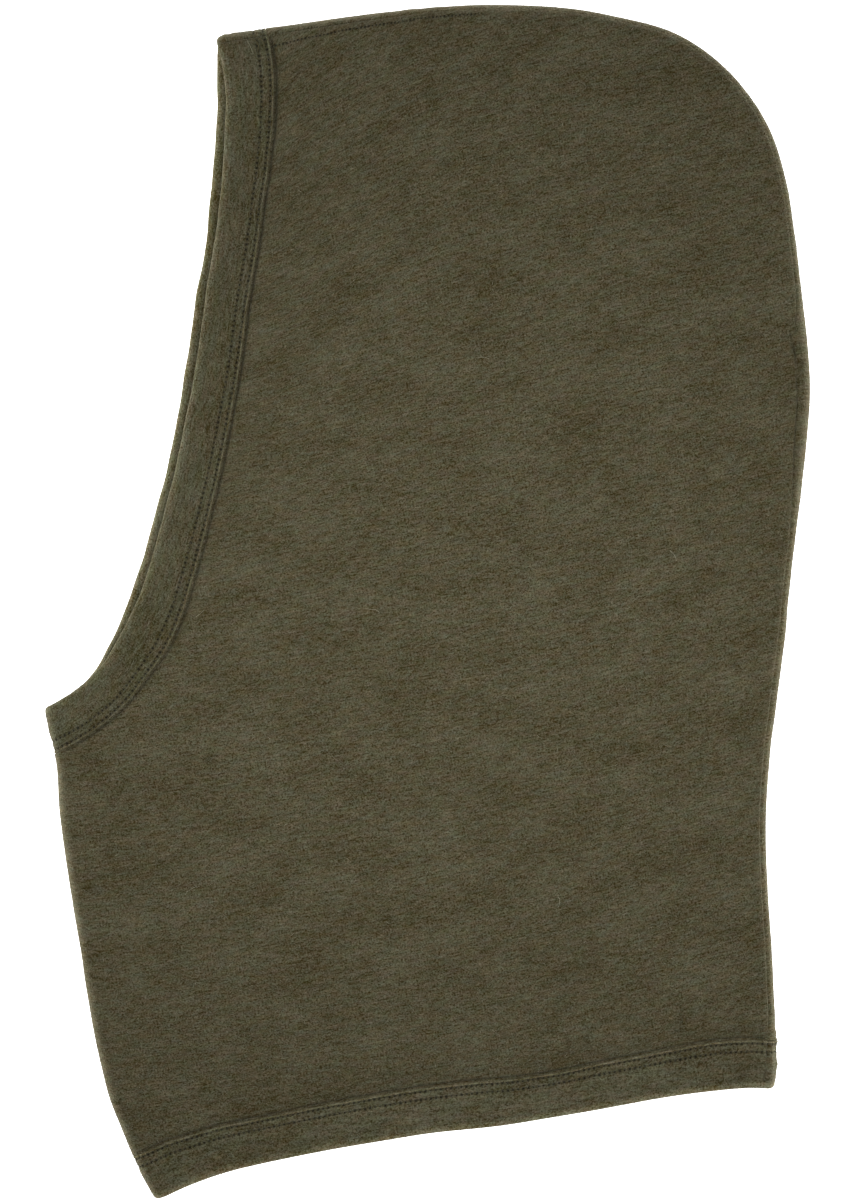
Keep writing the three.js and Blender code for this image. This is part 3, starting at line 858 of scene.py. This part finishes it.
def allowance_grid(row, share, level):
    """Places on the strip: share from the seam to the free edge, level from its top to its underside."""
    start = seam_inset(row) + 2 * GROOVE_WIDTH
    across = 1 - (start + share * ALLOWANCE_WIDTH) / row_span(1, row)
    base = skin(UPPER, across, row)
    top = body_depth(row) + JERSEY + SEAM_GAP
    return base, top + level * ALLOWANCE_THICKNESS


def build_allowance():
    first_ramp = np.linspace(NECK_BAND_WIDTH + 1, NECK_ZONE, 30)[:-1]
    last_ramp = LAST_ROW - np.linspace(FACE_BAND_WIDTH + 1, FACE_ZONE, 30)[::-1][1:]
    row = np.concatenate([first_ramp, NECK_ZONE + np.linspace(0, 1, 900), last_ramp])[:, None]
    # the powers under one make the section an oblong with round corners
    turn = np.linspace(0, 2 * math.pi, 21)[:-1]
    share = 0.5 - 0.5 * np.sign(np.cos(turn)) * np.abs(np.cos(turn)) ** 0.4
    level = 0.5 - 0.5 * np.sign(np.sin(turn)) * np.abs(np.sin(turn)) ** 0.55
    base, depth = allowance_grid(row, share[None, :], level[None, :])
    flat_base, _ = allowance_grid(row, np.array([[0.0, 0.5, 1.0]]), 0 * row)
    out = -outward_of(flat_base, closed=False)[:, 1:2]
    along = side_distance(row, seam_line)
    scallop = np.abs(np.sin(math.pi * along / OVERLOCK_PITCH))
    edge = smooth(share, 0.5, 1.0)[None, :]
    thin = 1 - LOOP_PINCH * edge * scallop
    middle = depth.mean(1, keepdims=True)
    side = unit(flat_base[:, 2:3] - flat_base[:, 0:1])
    slack = ALLOWANCE_SLACK * waves(along, 0 * along, 51, 6, 12, 50)
    places = base - out * (middle + (depth - middle) * thin)[..., None]
    places += side * (edge * (SCALLOP * scallop + slack - SCALLOP))[..., None]
    rows, columns = places.shape[:2]
    quads, _ = grid_quads(rows, columns, rows_close=False)
    faces = quads.tolist() + [list(range(columns)), list(range((rows - 1) * columns, rows * columns))[::-1]]
    if signed_volume(places.reshape(-1, 3), quads) < 0:
        faces = [face[::-1] for face in faces]
    yarn = np.stack([along + 0 * share, share * ALLOWANCE_WIDTH + 0 * along, level * 3 + 0 * along + 500], -1)
    strip = make_mesh("seam_allowance", places.reshape(-1, 3), faces, {"yarn": yarn.reshape(-1, 3)})
    return strip, places, out


seam_allowance, allowance_places, allowance_out = build_allowance()

# %% [markdown]
# ## Sockets that understand arithmetic
#
# Both the stitches and the cloth finishes are node trees. Written as Python expressions they stay short: a
# `Wire` is one output of a node, plus, minus, times and power on it add Math nodes, and `node` adds any
# other.

# %% A wire between nodes
class Wire:
    def __init__(self, tree, socket=None):
        self.tree, self.socket = tree, socket

    def node(self, kind, settings=None, inputs=None, output=0):
        made = self.tree.nodes.new(kind)
        for key, value in (settings or {}).items():
            setattr(made, key, value)
        for key, value in (inputs or {}).items():
            if isinstance(value, Wire):
                self.tree.links.new(value.socket, made.inputs[key])
            else:
                made.inputs[key].default_value = value
        return Wire(self.tree, made.outputs[output])

    def maths(self, operation, first, second=0.0):
        return self.node("ShaderNodeMath", {"operation": operation}, {0: first, 1: second})

    def vector_maths(self, operation, inputs):
        return self.node("ShaderNodeVectorMath", {"operation": operation}, inputs)

    def __add__(self, other):
        return self.maths("ADD", self, other)

    def __sub__(self, other):
        return self.maths("SUBTRACT", self, other)

    def __rsub__(self, other):
        return self.maths("SUBTRACT", other, self)

    def __mul__(self, other):
        return self.maths("MULTIPLY", self, other)

    def __truediv__(self, other):
        return self.maths("DIVIDE", self, other)

    def __pow__(self, other):
        return self.maths("POWER", self, other)

    __radd__, __rmul__ = __add__, __mul__

    def absolute(self):
        return self.maths("ABSOLUTE", self)

    def ramp(self, low, high, to_low=0.0, to_high=1.0):
        """Eased from one value to another, and flat beyond them."""
        inputs = {0: self, 1: low, 2: high, 3: to_low, 4: to_high}
        return self.node("ShaderNodeMapRange", {"interpolation_type": "SMOOTHSTEP"}, inputs)


# %% [markdown]
# ## Thread
#
# Every stitch is the same small arch of thread that dips into a needle hole at both ends, so it is made once,
# by Geometry Nodes, and set on a row of points that know their way out of the cloth and their way along the
# row. A little random turn and size, with a fixed seed, keeps the rows from looking printed.

# %% A tree that lays one stitch on every point
def stitch_tree():
    tree = bpy.data.node_groups.new("stitches on points", "GeometryNodeTree")
    tree.interface.new_socket("Geometry", in_out="OUTPUT", socket_type="NodeSocketGeometry")
    for kind, titles in (
        ("Geometry", ["Geometry"]),
        ("Float", ["Length", "Thickness", "Arch", "Sink", "Turn"]),
        ("Int", ["Seed", "Sides", "Steps"]),
        ("Material", ["Thread"]),
    ):
        for title in titles:
            tree.interface.new_socket(title, in_out="INPUT", socket_type=f"NodeSocket{kind}")
    wire = Wire(tree)
    entry = tree.nodes.new("NodeGroupInput")
    given = {socket.name: Wire(tree, socket) for socket in entry.outputs if socket.name}

    def vector(x, y, z):
        return wire.node("ShaderNodeCombineXYZ", {}, {0: x, 1: y, 2: z})

    def chance(low, high, seed):
        inputs = {2: low, 3: high, "Seed": seed}
        return wire.node("FunctionNodeRandomValue", {"data_type": "FLOAT"}, inputs, 1)

    half, down = given["Length"] * 0.5, given["Sink"] * -1.0
    bent = {
        "Resolution": given["Steps"],
        "Start": vector(half * -1.0, 0.0, down),
        "Middle": vector(0.0, 0.0, given["Arch"]),
        "End": vector(half, 0.0, down),
    }
    arch = wire.node("GeometryNodeCurveQuadraticBezier", {}, bent)
    round_profile = {"Resolution": given["Sides"], "Radius": given["Thickness"] * 0.5}
    profile = wire.node("GeometryNodeCurvePrimitiveCircle", {"mode": "RADIUS"}, round_profile)
    swept = {"Curve": arch, "Profile Curve": profile, "Fill Caps": True}
    stitch = wire.node("GeometryNodeCurveToMesh", {}, swept)
    named = {
        title: wire.node("GeometryNodeInputNamedAttribute", {"data_type": "FLOAT_VECTOR"}, {"Name": title})
        for title in ("outward", "forward")
    }
    upright = wire.node("FunctionNodeAlignRotationToVector", {"axis": "Z"}, {"Vector": named["outward"]})
    turned = {"Rotation": upright, "Vector": named["forward"]}
    aimed = wire.node("FunctionNodeAlignRotationToVector", {"axis": "X", "pivot_axis": "Z"}, turned)
    yaw = chance(given["Turn"] * -1.0, given["Turn"], given["Seed"])
    size = chance(0.88, 1.1, given["Seed"] + 7.0)
    yawed = {0: aimed, 1: vector(0.0, 0.0, yaw)}
    skew = wire.node("FunctionNodeRotateRotation", {"rotation_space": "LOCAL"}, yawed)
    placed = {"Points": given["Geometry"], "Instance": stitch, "Rotation": skew, "Scale": size}
    laid = wire.node("GeometryNodeInstanceOnPoints", {}, placed)
    real = wire.node("GeometryNodeRealizeInstances", {}, {0: laid})
    dyed = wire.node("GeometryNodeSetMaterial", {}, {"Geometry": real, "Material": given["Thread"]})
    shaded = wire.node("GeometryNodeSetShadeSmooth", {}, {"Geometry": dyed, "Shade Smooth": True})
    leave = tree.nodes.new("NodeGroupOutput")
    tree.links.new(shaded.socket, leave.inputs[0])
    return tree


STITCHES = stitch_tree()


# %% Grow a piece from points with a tree
def grow(name, tree, places, vectors, inputs):
    """Runs a Geometry Nodes tree on points that carry vectors, and keeps the result as a plain mesh."""
    mesh = bpy.data.meshes.new(name)
    mesh.from_pydata((np.asarray(places) * MM).tolist(), [], [])
    add_vectors(mesh, vectors)
    piece = add_object(name, mesh)
    modifier = piece.modifiers.new("grow", "NODES")
    modifier.node_group = tree
    sockets = {item.name: item.identifier for item in tree.interface.items_tree if item.in_out == "INPUT"}
    for title, value in inputs.items():
        modifier[sockets[title]] = value
    made = evaluated_mesh(piece)
    piece.modifiers.remove(modifier)
    piece.data = made
    made.name = name
    return count_up(piece)


# %% Points along the needle rows
def along_line(line, way_out, along, pitch, shift):
    """Evenly spaced points on a closed line, with their way out and way along."""
    ways = np.arange(1, int(along[-1] / pitch)) * pitch + shift

    def at(values, way):
        closed = np.concatenate([values, values[:1]])
        return np.stack([np.interp(way, along, closed[:, i]) for i in range(3)], -1)

    places = at(line, ways)
    return places, unit(at(way_out, ways)), unit(at(line, ways + 0.4) - places)


def needle_thread(lines):
    """Stitches between the holes of both rows on the outer leg."""
    rows = [along_line(*line, STITCH_PITCH, 0.0) for side, *line in lines if side > 0]
    return tuple(np.concatenate(parts) for parts in zip(*rows))


def looper_thread(lines):
    """The zigzag on the inner leg, from one needle row to the other and back."""
    shifts = 0, STITCH_PITCH / 2
    near, far = (along_line(*line, STITCH_PITCH, shift) for (side, *line), shift in zip(lines[2:], shifts))
    there = (near[0] + far[0]) / 2, near[1], unit(far[0] - near[0])
    back = (near[0][1:] + far[0][:-1]) / 2, near[1][1:], unit(near[0][1:] - far[0][:-1])
    return tuple(np.concatenate(parts) for parts in zip(there, back))


def crown_thread():
    """Stitches along the dotted line on the crown, in the body's rows and columns."""
    first, last = (way / CROWN_PITCH for way in CROWN_RUN)
    ways = np.arange(math.ceil(first), int(last)) * CROWN_PITCH
    start = NECK_ZONE * neck_spread(1)
    stop = seam_line.length - FACE_ZONE * face_spread(1)
    row = NECK_ZONE + (ways - start) / (stop - start)
    across = 1 - read_table(CROWN_STITCHES, ways) / row_span(1, row)
    grid = skin(UPPER, across[:, None] + np.array([[-0.004, 0.0, 0.004]]), row[:, None])
    out = outward_of(grid, closed=False)[:, 1]
    return grid[:, 1] - 0.1 * out, out, unit(np.gradient(grid[:, 1], axis=0))


def overlock_thread(slant):
    """One strand for each overlock loop, across the underside of the seam allowance."""
    middle = allowance_places[:, 13:18].mean(1)
    way = unit(allowance_places[:, 10] - allowance_places[:, 0])
    travelled = np.concatenate([[0], np.cumsum(np.linalg.norm(np.diff(middle, axis=0), axis=1))])
    pick = np.searchsorted(travelled, np.arange(2, travelled[-1] - 2, OVERLOCK_PITCH))
    ahead = unit(middle[np.minimum(pick + 1, len(middle) - 1)] - middle[pick - 1])
    return middle[pick], -allowance_out[pick, 0], unit(way[pick] + slant * ahead)


# %% [markdown]
# ## Jersey
#
# The knit is a melange: dark olive yarn with paler fibres blended in before spinning. From this distance it
# shows as soft streaks that follow the courses, thin lines of single yarns, a fine grain of single stitches,
# and short pale fibres that lie any way. Each of them is a noise that is stretched along the courses by its
# own amount, in millimetres of cloth. Most of them raise the bump as well, so the light agrees with the
# colour. Two more noises make the hue warmer or cooler, and a third makes it more or less blue. Pale streaks
# are a little cooler as well. The maps place painted shade in the needle holes and along their rows, and
# painted highlights on the ridges of the bands and at the edges, where light wraps round the cloth.

# %% The jersey material
COOL = (0.0725, 0.0705, 0.0382)
WARM = (0.0868, 0.0682, 0.0370)
GREYER = (0.0, 0.009, 0.020)   # paler yarn is also greyer, so these fade out more slowly than red
SHEEN_TINT = (0.8, 0.75, 0.55, 1)
SILHOUETTE_HIGHLIGHT = 0.65                    # painted highlight at the silhouette, where light wraps round the curl, as a share
SILHOUETTE_HIGHLIGHT_REACH = 4.2               # the distance over which that fades
WALE_PITCH = 1.05
HOLE_SHADE = 0.68              # how much painted shade darkens a needle hole, as a share
TROUGH_SHADE = 0.16            # the same for the trough along a needle row


def new_material(name, inputs):
    """Returns the material, its shader, and a wire to add more nodes with."""
    material = bpy.data.materials.new(name)
    material.use_nodes = True
    shader = material.node_tree.nodes["Principled BSDF"]
    for title, value in inputs.items():
        shader.inputs[title].default_value = value
    return material, shader, Wire(material.node_tree)


def jersey(name, tone=1.0, rows=(), pitch=STITCH_PITCH, hole=0.44, ridge=0.0, painted_edge_light=0.0, cooler=0.0):
    material, shader, wire = new_material(name, {
        "Roughness": 0.95,
        "Specular IOR Level": 0.06,
        "Sheen Weight": 0.22,
        "Sheen Roughness": 0.45,
        "Sheen Tint": SHEEN_TINT,
    })

    def read_map(title):
        return wire.node("ShaderNodeAttribute", {"attribute_name": title}, output=1)

    def map_parts(title):
        split = wire.node("ShaderNodeSeparateXYZ", {}, {0: read_map(title)})
        return (Wire(wire.tree, output) for output in split.socket.node.outputs)

    yarn = read_map("yarn")

    def noise(along, across, detail=2.0, distortion=0.0, shift=0.0):
        stretch = {0: yarn, 1: (1 / along, 1 / across, 1 / across), 2: (shift, 0, 0)}
        inputs = {"Scale": 1.0, "Detail": detail, "Roughness": 0.55, "Distortion": distortion}
        inputs["Vector"] = wire.vector_maths("MULTIPLY_ADD", stretch)
        return wire.node("ShaderNodeTexNoise", {}, inputs) - 0.5

    patches = noise(30, 16)
    streaks = noise(5.2, 1.9, 3.0)
    grain = noise(0.72, 0.62, 2.0, 0.4)
    tufts = noise(1.8, 1.0, 2.0, 0.6, 40)
    yarns = noise(6.0, 0.62, 2.0, 0.3, 210)
    strands = noise(3.4, 1.5, 2.0, 1.2, 90).absolute().ramp(0.0, 0.028, 1.0, 0.0)
    where = noise(1.9, 1.9, 1.0, 0.0, 150).ramp(0.02, 0.12)
    fibres = strands * where
    pits = grain.ramp(-0.22, -0.07, 1.0, 0.0)
    way, _, _ = map_parts("yarn")
    wale = wire.maths("SINE", way * (2 * math.pi / WALE_PITCH) + patches * 6.0)
    # the lightness, and after it the height of the bump, with how much each noise counts in it
    value = patches * 0.85 + streaks * 1.0 + yarns * 1.2 + tufts * 1.1 + grain * 2.65
    value = value + wale * 0.04 - pits * 0.42 + fibres * 0.8 + 1.05
    value = wire.maths("MAXIMUM", value, 0.45)
    height = streaks * 0.10 + tufts * 0.25 + grain * 0.45 + wale * 0.02 - pits * 0.12 + fibres * 0.12

    dark = 1.0
    if rows:
        along, from_ridge, shows = map_parts("needle")
        step = (wire.maths("FRACT", along / pitch) - 0.5) * pitch
        # painted shade in each needle hole and along the trough of its row, where little light reaches
        for at in rows:
            beside = from_ridge - at
            stitch = wire.maths("FLOOR", along / pitch) + at * 31.7
            chance = wire.node("ShaderNodeTexWhiteNoise", {"noise_dimensions": "1D"}, {"W": stitch})
            reach = (step * step + beside * beside) ** 0.5 / (chance * 0.6 + 0.62)
            hollow = reach.ramp(hole * 0.5, hole * 1.8, 1.0, 0.0) * shows
            trough = beside.absolute().ramp(0.1, 0.75, 1.0, 0.0) * shows
            dark = dark * (1.0 - hollow * HOLE_SHADE) * (1.0 - trough * TROUGH_SHADE)
            height = height - hollow * 0.6
        # painted highlight along the crest of a band's ridge, where the raised edge catches the light
        if ridge:
            crest = (from_ridge - 0.35).absolute().ramp(0.1, 0.45, 1.0, 0.0)
            dark = dark * (1.0 + crest * shows * ridge)
    # painted highlight at the silhouette and along the fold of each opening, where light wraps round the
    # curled edges, and painted light on the lower layer of a band near its opening, which lies in the upper
    # layer's shadow
    if painted_edge_light:
        rim, opening, under = map_parts("edge")
        turned = opening.ramp(0.0, 3.8, 1.0, 0.0) * painted_edge_light + opening.ramp(0.0, 7.0, 1.0, 0.0) * under * 1.1
        dark = dark * (1.0 + rim.ramp(0.0, SILHOUETTE_HIGHLIGHT_REACH, 1.0, 0.0) * SILHOUETTE_HIGHLIGHT + turned)

    hue = noise(9, 4.0, 2.0, 0.0, 300) * 1.5 + noise(2.2, 1.2, 2.0, 0.5, 340) * 1.4
    blend = (hue - (patches + streaks + tufts) * 0.12 + (0.5 - cooler)).ramp(0.0, 1.0)
    blueness = noise(7, 3.0, 3.0, 0.0, 380) * 0.38 + 1.0
    shades = {
        key: tuple(tone * part + grey for part, grey in zip(shade, GREYER)) + (1,)
        for key, shade in ((6, COOL), (7, WARM))
    }
    colour = wire.node("ShaderNodeMix", {"data_type": "RGBA"}, {0: blend, **shades}, 2)
    tint = wire.node("ShaderNodeCombineXYZ", {}, {0: 1.0, 1: 1.0, 2: blueness})
    tinted = wire.vector_maths("MULTIPLY", {0: colour, 1: tint})
    less_grey = tuple(-grey for grey in GREYER)
    mottled = wire.vector_maths("MULTIPLY_ADD", {0: tinted, 1: value, 2: less_grey})
    shaded = wire.vector_maths("SCALE", {0: mottled, 3: dark})
    bump = wire.node("ShaderNodeBump", {}, {"Strength": 0.8, "Distance": MM, "Height": height})
    wire.tree.links.new(shaded.socket, shader.inputs["Base Color"])
    wire.tree.links.new(bump.socket, shader.inputs["Normal"])
    return material


for piece, finish in (
    (hood_body, jersey("jersey", rows=(0.0,), pitch=CROWN_PITCH, hole=0.38, painted_edge_light=1.0)),
    (face_binding, jersey("face binding jersey", 0.95, NEEDLE_ROWS, ridge=0.45, painted_edge_light=0.5, cooler=0.12)),
    (neck_binding, jersey("neck binding jersey", 1.04, NEEDLE_ROWS, ridge=0.45, painted_edge_light=1.2, cooler=0.08)),
    (seam_allowance, jersey("seam allowance jersey", 0.8)),
):
    piece.data.materials.append(finish)


# %% Thread and loose fibre
def fibre(name, colour):
    """Spun fibre, a little lighter and darker along its length."""
    material, shader, wire = new_material(name, {
        "Roughness": 0.8,
        "Specular IOR Level": 0.12,
        "Sheen Weight": 0.1,
        "Sheen Tint": SHEEN_TINT,
    })
    place = wire.node("ShaderNodeTexCoord", output=3)
    mottle = wire.node("ShaderNodeTexNoise", {}, {"Vector": place, "Scale": 900.0, "Detail": 2.0})
    shaded = wire.vector_maths("SCALE", {0: colour, 3: mottle * 0.9 + 0.55})
    wire.tree.links.new(shaded.socket, shader.inputs["Base Color"])
    return material


THREAD = fibre("sewing thread", (0.074, 0.065, 0.031))
FUZZ = fibre("fuzz", (0.21, 0.195, 0.135))
PALE_FIBRE = fibre("pale fibre", (0.30, 0.28, 0.20))

# %% Sew
def sew(name, points, length, thickness, arch, sink, turn=0.12, seed=1, thread=THREAD, sides=5, steps=6):
    places, outward, forward = points
    inputs = {
        "Length": length * MM, "Thickness": thickness * MM, "Arch": arch * MM, "Sink": sink * MM,
        "Turn": turn, "Seed": seed, "Thread": thread, "Sides": sides, "Steps": steps,
    }
    return grow(name, STITCHES, places, {"outward": outward, "forward": forward}, inputs)


NEEDLE_STITCH = 1.2, 0.34, 0.40, 0.16    # length, thickness, arch and sink
LOOPER_STITCH = 3.3, 0.34, 0.36, 0.02
OVERLOCK_STITCH = 0.3, 0.3, 0.1          # the same without the length
face_stitches = sew("face_stitches", needle_thread(face_lines), *NEEDLE_STITCH, seed=3)
neck_stitches = sew("neck_stitches", needle_thread(neck_lines), *NEEDLE_STITCH, seed=4)
face_looper = sew("face_looper_thread", looper_thread(face_lines), *LOOPER_STITCH, seed=5)
neck_looper = sew("neck_looper_thread", looper_thread(neck_lines), *LOOPER_STITCH, seed=6)
crown_stitches = sew("crown_stitches", crown_thread(), 0.95, 0.3, 0.34, 0.2, seed=7)
loops, slants = overlock_thread(0.0), overlock_thread(0.45)
overlock_loops = sew("overlock_loops", loops, ALLOWANCE_WIDTH, *OVERLOCK_STITCH, seed=8)
overlock_slants = sew("overlock_slants", slants, ALLOWANCE_WIDTH * 0.95, *OVERLOCK_STITCH, seed=9)

# %% [markdown]
# ## Fuzz
#
# Brushed cotton is never clean-edged. Thousands of very fine short fibres stand up from it. On the flat they
# show as faint pale specks, and at the silhouette they soften the outline. The places are drawn at random on
# the mesh faces, each as likely as its area, with a fixed seed, and the stitch tree lays a hair on each.

# %% Grow the fuzz
LYING_HAIR = 1.7, 0.075, 0.34, 0.03      # length, thickness, arch and sink
STANDING_HAIR = 1.2, 0.06, 0.75, 0.05
LINT = 1.3, 0.13, 0.36, 0.0
UPPER_FROM = 7.0                         # cloth over this height is the upper layer


def fuzz_points(piece, count, seed, on_top):
    """Random places on the upper layer or on the steep sides of a piece, with the way out and a way along."""
    random = np.random.default_rng(seed)
    mesh = piece.data
    triangles = np.empty(len(mesh.loop_triangles) * 3, int)
    mesh.loop_triangles.foreach_get("vertices", triangles)
    corners = np.empty(len(mesh.vertices) * 3)
    mesh.vertices.foreach_get("co", corners)
    corners = corners.reshape(-1, 3)[triangles.reshape(-1, 3)] / MM
    square = np.cross(corners[:, 1] - corners[:, 0], corners[:, 2] - corners[:, 0])
    area = np.linalg.norm(square, axis=1)
    outward = square / np.maximum(area, 1e-9)[:, None]
    tilt, height = outward[:, 2], corners[:, :, 2].mean(1)
    weight = area * np.where(on_top, (tilt > 0.3) & (height > UPPER_FROM), np.abs(tilt) < 0.75)
    pick = random.choice(len(area), count, p=weight / weight.sum())
    share = random.dirichlet((1, 1, 1), count)
    places = (corners[pick] * share[..., None]).sum(1)
    return places, outward[pick], unit(np.cross(outward[pick], random.normal(size=(count, 3))))


def hairs(name, piece, count, shape, seed, on_top=True, thread=FUZZ):
    points = fuzz_points(piece, count, seed, on_top)
    return sew(name, points, *shape, turn=3.1, seed=seed, thread=thread, sides=3, steps=2)


fuzz = []
for piece, flat_count, edge_count, seed in (
    (hood_body, 9200, 2600, 61),
    (face_binding, 1100, 900, 62),
    (neck_binding, 1000, 900, 63),
):
    fuzz.append(hairs(f"{piece.name}_fuzz", piece, flat_count, LYING_HAIR, seed))
    fuzz.append(hairs(f"{piece.name}_edge_fuzz", piece, edge_count, STANDING_HAIR, seed + 10, on_top=False))

lint = hairs("lint", hood_body, 420, LINT, 81, thread=PALE_FIBRE)

# %% [markdown]
# ## Loose ends and lint
#
# A few single threads make the cloth look handled: a cut thread at the back of the hem, the frayed loops
# where the crown seam runs into the face band, and some lint. Each is a smooth curve through points seen from
# above, with a lift over the cloth that lies below them, found by a ray from above.

# %% Lay loose threads
LOOSE_THREADS = [  # thickness, pale or not, then x, y and lift of each point
    (0.22, False, [(137.0, -178.6, 0.1), (139.6, -179.6, 0.3), (141.2, -180.6, 1.2)]),
    (0.16, False, [(135.6, -193.0, 0.2), (136.6, -195.0, 0.4), (137.4, -195.4, 0.8)]),
    (0.12, True, [(-71.4, 222.8, 0.1), (-70.4, 221.2, 0.7), (-69.0, 217.4, 0.1)]),
    (0.55, False, [(-69.4, 223.2, 0.1), (-67.6, 222.6, 0.8), (-66.6, 220.2, 0.5), (-67.4, 218.4, 0.1)]),
    (0.55, False, [(-67.0, 223.8, 0.1), (-65.4, 223.0, 0.9), (-64.6, 220.8, 0.5), (-65.2, 219.0, 0.1)]),
    (0.5, False, [(-62.8, 222.8, 0.1), (-62.0, 220.6, 0.7), (-63.0, 218.8, 0.1)]),
    (0.14, True, [(-24.6, -2.6, 0.1), (-22.4, -3.4, 0.5), (-20.4, -2.8, 0.4), (-18.8, -4.4, 0.1)]),
    (0.12, True, [(-43.4, 228.0, 0.1), (-42.4, 229.2, 0.6), (-40.6, 229.4, 0.1)]),
    (0.12, True, [(-22.2, 231.4, 0.1), (-21.2, 232.8, 0.6), (-19.6, 232.6, 0.1)]),
    (0.13, True, [(96.4, 20.2, 0.1), (98.6, 18.8, 0.5), (99.0, 16.2, 0.1)]),
    (0.13, True, [(-96.0, -116.4, 0.1), (-94.4, -114.0, 0.5), (-91.4, -113.2, 0.1)]),
    (0.12, True, [(-91.6, -6.0, 0.1), (-90.0, -4.8, 0.5), (-88.3, -3.3, 0.1)]),
    (0.12, True, [(20.4, 96.6, 0.1), (22.6, 97.4, 0.5), (24.6, 96.2, 0.1)]),
    (0.12, True, [(52.0, -121.6, 0.1), (53.2, -119.2, 0.5), (52.2, -117.2, 0.1)]),
    (0.15, False, [(148.9, 27.0, 0.1), (149.9, 26.6, 0.6), (150.4, 25.2, 0.8), (149.2, 24.0, 0.2)]),
    (0.15, False, [(147.9, 31.6, 0.1), (149.6, 31.2, 0.6), (149.8, 29.8, 0.6), (148.6, 29.0, 0.1)]),
]


def cloth_height(x, y):
    """Top of the cloth below a point, or the height of the curl where there is none."""
    heights = []
    for piece in (hood_body, face_binding, neck_binding):
        hit, place, _, _ = piece.ray_cast(Vector((x * MM, y * MM, 0.05)), Vector((0, 0, -1)))
        if hit:
            heights.append(place.z / MM)
    return max(heights, default=LAID_HEIGHT / 2)


def loose_thread(name, thickness, material, points):
    curve = bpy.data.curves.new(name, "CURVE")
    curve.dimensions = "3D"
    curve.bevel_depth = thickness / 2 * MM
    curve.bevel_resolution = 1
    curve.resolution_u = 5
    curve.use_fill_caps = True
    spline = curve.splines.new("NURBS")
    spline.points.add(len(points) - 1)
    for knot, (x, y, lift) in zip(spline.points, points):
        knot.co = (x * MM, y * MM, (cloth_height(x, y) + lift) * MM, 1)
    spline.use_endpoint_u = True
    spline.order_u = 3
    holder = add_object(name, curve)
    mesh = evaluated_mesh(holder)
    bpy.data.objects.remove(holder)
    mesh.materials.clear()
    mesh.materials.append(material)
    return add_object(name, mesh)


loose = [
    loose_thread(f"loose_thread_{number}", thickness, PALE_FIBRE if pale else THREAD, points)
    for number, (thickness, pale, points) in enumerate(LOOSE_THREADS, 1)
]
print(f"{len(loose)} loose threads")

# %% [markdown]
# ## Stage, light and camera
#
# The hood lies on a white table and is seen from straight above. The table is brighter than the paper white
# of the picture, so it washes out, and light from it wraps round the edges of the cloth.

# %% Table
bpy.ops.mesh.primitive_plane_add(size=6, location=(0, 0, -0.0004))
table = bpy.context.object
table.name = "table"
white, _, _ = new_material("table white", {
    "Base Color": (0.9, 0.9, 0.9, 1),
    "Roughness": 0.9,
    "Emission Color": (1, 1, 1, 1),
    "Emission Strength": 2.1,
})
table.data.materials.append(white)

# %% Lights
world = bpy.data.worlds.new("room")
bpy.context.scene.world = world
world.use_nodes = True
background = world.node_tree.nodes["Background"]
background.inputs["Color"].default_value = (1, 1, 1, 1)
background.inputs["Strength"].default_value = 0.29


def softbox(name, place, aim, size, power):
    data = bpy.data.lights.new(name, "AREA")
    data.shape = "SQUARE"
    data.size = size
    data.energy = power
    light = add_object(name, data)
    light.location = place
    light.rotation_euler = (Vector(aim) - Vector(place)).to_track_quat("-Z", "Y").to_euler()


softbox("softbox above", (0.015, -0.01, 0.42), (0.015, -0.01, 0), 0.26, 1.16)
softbox("softbox left", (-0.55, 0.12, 0.26), (0, 0, 0), 0.4, 1.0)
softbox("softbox right", (0.6, -0.05, 0.26), (0, 0, 0), 0.4, 0.7)

# %% Camera
PHOTO_CENTRE = (0.0004, 0.0006)   # the middle of the picture, on the hood
PHOTO_HEIGHT = 0.480              # what the picture shows from bottom to top
PHOTO_LEVEL = 0.006               # the height over the table at which it does so
SENSOR, LENS = 36, 100
camera_data = bpy.data.cameras.new("camera")
camera_data.sensor_width = SENSOR
camera_data.lens = LENS
camera = add_object("camera", camera_data)
camera.location = (*PHOTO_CENTRE, PHOTO_HEIGHT * LENS / SENSOR + PHOTO_LEVEL)
bpy.context.scene.camera = camera
bpy.context.scene.view_settings.view_transform = "Standard"

# %% Hang every piece on the root, and hide the imported parts that the cloth pieces replace
for piece, node, slot in (
    (hood_body, "knit_body", "jersey"),
    (face_binding, "face_band", "band_jersey"),
    (neck_binding, "neck_band", "band_jersey"),
    (seam_allowance, "centre_seam", "seam_jersey"),
):
    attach(piece, "root")
    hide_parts(node)

for piece, slot in (
    (face_stitches, "band_jersey"),
    (neck_stitches, "band_jersey"),
    (face_looper, "band_jersey"),
    (neck_looper, "band_jersey"),
    (crown_stitches, "jersey"),
    (overlock_loops, "seam_jersey"),
    (overlock_slants, "seam_jersey"),
    *((piece, "jersey") for piece in [*fuzz, lint, *loose]),
):
    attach(piece, "root")
